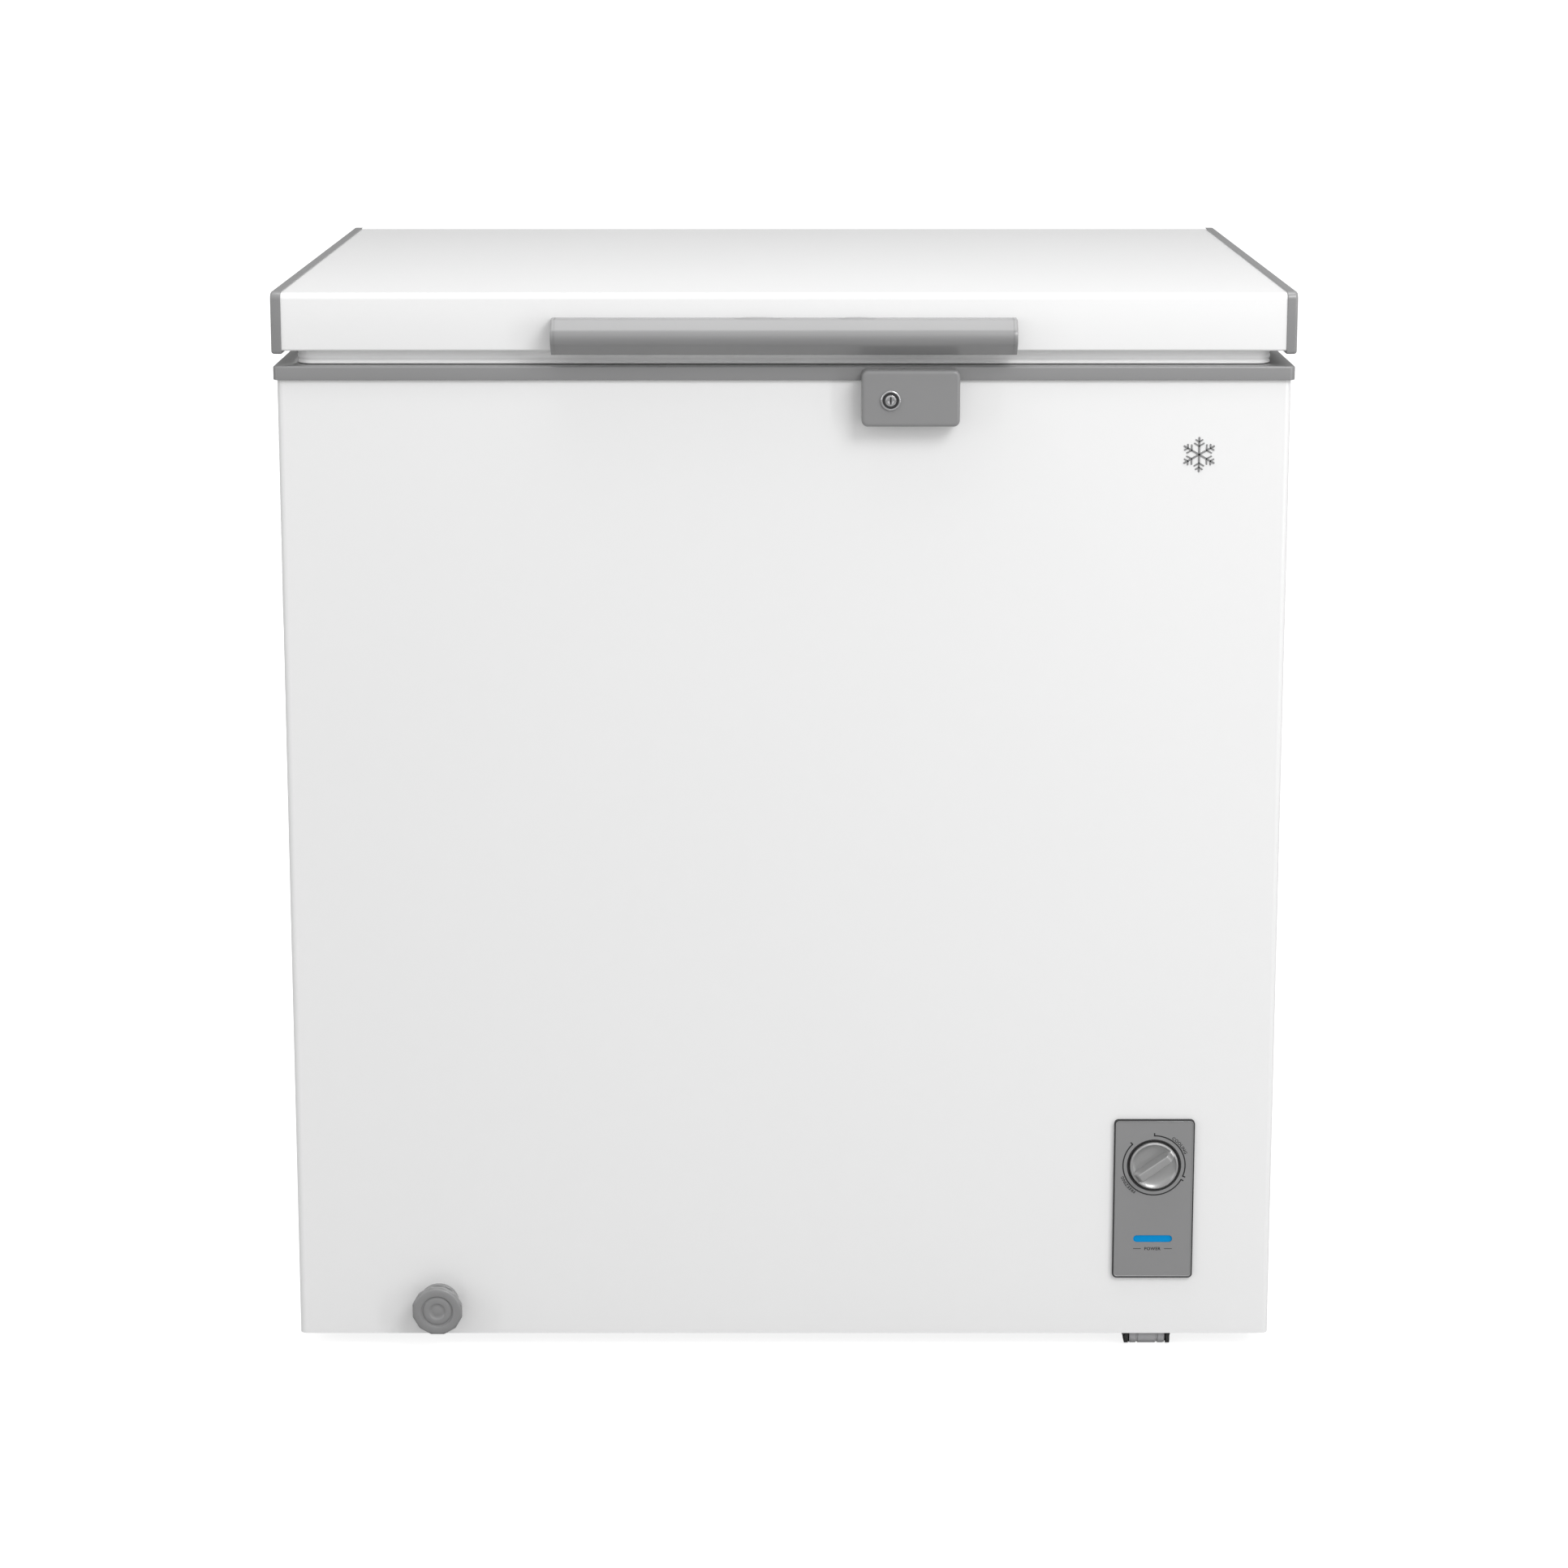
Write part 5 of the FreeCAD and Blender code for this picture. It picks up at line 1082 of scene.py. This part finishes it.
class FREEZER_OT_basket(bpy.types.Operator):
    """Bend the basket from coated wire: a thick rim with hooks, and thin wires welded below"""

    bl_idname = "freezer.basket"
    bl_label = "Wire Basket"

    def execute(self, context):
        size = sizes()
        wires_low, wires_high = extent("basket_wires")
        low, high = extent("basket_frame")
        thick, thin = size.rim_wire, size.mesh_wire
        level, floor = high[2] - thick, wires_low[2] + thin
        hook = 10.0 * MM
        x0, x1 = low[0] + thick, high[0] - thick
        y0, y1 = low[1] + hook + thick, high[1] - hook - thick
        outline = rounded_outline((x0, y0), (x1, y1), 16.0 * MM, 10)
        shells = [(round_bar(facing_up(outline, level), thick, (0, 0, 1), looped=True, sides=16), True)]
        for x in (x0 + 46.0 * MM, x1 - 46.0 * MM):
            for y, outward in ((y0, -1.0), (y1, 1.0)):
                ends = [(x, y, level), (x, y + outward * (hook + thick), level)]
                shells.append((straight_bar(*ends, thick, sides=16), False))
        make_piece("basket_rim", shells, coated_wire(), "basket", ["basket_frame"])

        def spread(start, end):
            count = max(2, round((end - start) / size.mesh_pitch))
            return np.linspace(start, end, count + 1)[1:-1]

        taper, bend = 9.0 * MM, 14.0 * MM
        shells = []
        for x in spread(x0, x1):
            run = [(x, y0, level), (x, y0 + taper, floor), (x, y1 - taper, floor), (x, y1, level)]
            shells.append((round_bar(rounded_path(run, bend, 5), thin, (1, 0, 0), sides=8), False))
        for y in spread(y0, y1):
            above = floor + 2 * thin
            run = [(x0, y, level), (x0 + taper, y, above), (x1 - taper, y, above), (x1, y, level)]
            shells.append((round_bar(rounded_path(run, bend, 5), thin, (0, 1, 0), sides=8), False))
        for share in (0.25, 0.5, 0.75):
            z = level + (floor - level) * share
            inset = taper * share + thin
            hoop = rounded_outline((x0 + inset, y0 + inset), (x1 - inset, y1 - inset), 14.0 * MM, 8)
            shells.append((round_bar(facing_up(hoop, z), thin, (0, 0, 1), looped=True, sides=8), True))
        make_piece("basket_mesh", shells, coated_wire(), "basket", ["basket_wires"])
        return {"FINISHED"}


class FREEZER_OT_emblem(bpy.types.Operator):
    """Fix a plain snowflake on the cabinet's front"""

    bl_idname = "freezer.emblem"
    bl_label = "Snowflake Emblem"

    def execute(self, context):
        low, high = extent("outer_wrap")
        spot = np.array([317.6 * MM, 724.5 * MM])
        reach, back, front = sizes().emblem, low[1] + 0.05 * MM, low[1] - 0.55 * MM
        shells = []
        for arm in np.radians(np.arange(0.0, 360.0, 60.0) + 30.0):
            tip = spot + reach * np.array([math.cos(arm), math.sin(arm)])
            shells.append((self.stroke(spot, tip, 1.5 * MM, back, front), False))
            for share, branch in ((0.50, 0.32), (0.76, 0.22)):
                root = spot + (tip - spot) * share
                for turn in (-math.radians(58.0), math.radians(58.0)):
                    end = root + branch * reach * np.array([math.cos(arm + turn), math.sin(arm + turn)])
                    shells.append((self.stroke(root, end, 1.2 * MM, back, front), False))
        make_piece("snowflake", shells, grey_moulding(), "cabinet")
        return {"FINISHED"}

    def stroke(self, start, end, width, back, front):
        """Flat bar with round ends between two points of the front, its top edge slightly bevelled."""
        along = unit(end - start)
        angle = math.atan2(along[1], along[0])
        rings = []
        for inset, y in ((0.0, back), (0.0, front + 0.2 * MM), (0.15 * MM, front)):
            half = width / 2 - inset
            first = np.linspace(angle + 0.5 * math.pi, angle + 1.5 * math.pi, 7)
            second = first + math.pi
            outline = np.concatenate([
                start + half * np.stack([np.cos(first), np.sin(first)], axis=-1),
                end + half * np.stack([np.cos(second), np.sin(second)], axis=-1),
            ])
            rings.append(facing_front(outline, y))
        return np.stack(rings)


class FREEZER_OT_stage(bpy.types.Operator):
    """Set the pale floor, the soft studio light and the camera"""

    bl_idname = "freezer.stage"
    bl_label = "Stage"

    def execute(self, context):
        scene = context.scene
        scene.view_settings.view_transform = "Standard"
        self.floor(scene)
        self.world(scene)
        self.lights(scene)
        self.camera(scene)
        return {"FINISHED"}

    def floor(self, scene):
        """Wide pale floor that turns up behind the freezer through a quarter circle into a wall."""
        half, front, back, bend, height = 14.0, -9.0, 5.0, 1.5, 9.0
        turn = np.linspace(0.0, 0.5 * math.pi, 17)
        curve = np.stack([back - bend + bend * np.sin(turn), bend - bend * np.cos(turn)], axis=-1)
        side = np.concatenate([[(front, 0.0)], curve, [(back, height)]])
        count = len(side)
        vertices = np.concatenate([
            np.column_stack([np.full(count, x), side[:, 0], side[:, 1]]) for x in (-half, half)
        ])
        rows = np.arange(count - 1)
        faces = np.stack([rows, rows + count, rows + count + 1, rows + 1], axis=-1)
        mesh = bpy.data.meshes.new("floor")
        mesh.from_pydata(vertices, [], faces.tolist())
        mesh.polygons.foreach_set("use_smooth", np.ones(count - 1, dtype=bool))
        floor = bpy.data.objects.new("floor", mesh)
        scene.collection.objects.link(floor)
        material = bpy.data.materials.new("pale_floor")
        material.use_nodes = True
        nodes, links = material.node_tree.nodes, material.node_tree.links
        principled = nodes["Principled BSDF"]
        principled.inputs["Base Color"].default_value = (0.40, 0.40, 0.40, 1.0)
        principled.inputs["Roughness"].default_value = 0.9
        principled.inputs["Emission Color"].default_value = (1.0, 1.0, 1.0, 1.0)
        seen = nodes.new("ShaderNodeLightPath").outputs["Is Camera Ray"]
        links.new(maths(nodes, links, "MULTIPLY", seen, 0.86), principled.inputs["Emission Strength"])
        mesh.materials.append(material)

    def world(self, scene):
        world = bpy.data.worlds.new("studio")
        world.use_nodes = True
        background = world.node_tree.nodes["Background"]
        background.inputs["Color"].default_value = (1.0, 1.0, 1.0, 1.0)
        background.inputs["Strength"].default_value = 0.88
        scene.world = world

    def lights(self, scene):
        """Soft boxes: (name, place, aimed at, width, height, watts)."""
        boxes = (
            ("key", (1.2, -1.9, 2.3), (0.10, -0.2, 0.80), 1.2, 0.9, 29.0),
            ("top", (0.1, -0.3, 3.0), (0.05, 0.0, 0.8), 2.0, 1.2, 29.0),
            ("right_strip", (2.0, -1.7, 0.9), (0.2, -0.2, 0.55), 0.16, 1.7, 9.0),
            ("left_strip", (-2.2, -1.5, 0.9), (-0.2, -0.2, 0.55), 0.12, 1.7, 5.0),
            ("back", (-0.7, 2.6, 0.42), (0.0, 0.25, 0.42), 2.2, 0.7, 18.0),
        )
        for name, place, target, width, height, watts in boxes:
            lamp = bpy.data.lights.new(name, "AREA")
            lamp.shape = "RECTANGLE"
            lamp.size, lamp.size_y, lamp.energy = width, height, watts
            holder = bpy.data.objects.new(name, lamp)
            holder.location = place
            aim = Vector(target) - Vector(place)
            holder.rotation_euler = aim.to_track_quat("-Z", "Y").to_euler()
            holder.visible_camera = False
            scene.collection.objects.link(holder)

    def camera(self, scene):
        """Long lens, in front of the middle, a little above the lid and looking slightly down."""
        camera = bpy.data.cameras.new("camera")
        camera.sensor_width = 36.0
        camera.lens = 79.1
        camera.shift_y = -0.181
        camera.clip_end = 50.0
        holder = bpy.data.objects.new("camera", camera)
        holder.location = (0.0, -2.858, 1.141)
        holder.rotation_euler = (math.radians(90.0 - 9.85), 0.0, 0.0)
        scene.collection.objects.link(holder)
        scene.camera = holder


class FREEZER_PT_panel(bpy.types.Panel):
    """Buttons that build the freezer's pieces"""

    bl_idname = "FREEZER_PT_panel"
    bl_label = "Chest Freezer"
    bl_space_type = "VIEW_3D"
    bl_region_type = "UI"
    bl_category = "Freezer"

    def draw(self, context):
        for operator in OPERATORS:
            self.layout.operator(operator.bl_idname)


GROUPS = (FreezerSizes, FreezerColours)
OPERATORS = (
    FREEZER_OT_cabinet,
    FREEZER_OT_lid_skin,
    FREEZER_OT_end_caps,
    FREEZER_OT_gasket,
    FREEZER_OT_rim,
    FREEZER_OT_handle,
    FREEZER_OT_lock,
    FREEZER_OT_panel,
    FREEZER_OT_dial,
    FREEZER_OT_drain,
    FREEZER_OT_casters,
    FREEZER_OT_basket,
    FREEZER_OT_emblem,
    FREEZER_OT_stage,
)
CLASSES = (*GROUPS, *OPERATORS, FREEZER_PT_panel)


def register():
    for cls in CLASSES:
        bpy.utils.register_class(cls)
    bpy.types.Scene.freezer_sizes = PointerProperty(type=FreezerSizes)
    bpy.types.Scene.freezer_colours = PointerProperty(type=FreezerColours)


def unregister():
    del bpy.types.Scene.freezer_colours
    del bpy.types.Scene.freezer_sizes
    for cls in reversed(CLASSES):
        bpy.utils.unregister_class(cls)


def main():
    register()
    for operator in OPERATORS:
        group, name = operator.bl_idname.split(".")
        getattr(getattr(bpy.ops, group), name)()


if __name__ == "__main__":
    main()
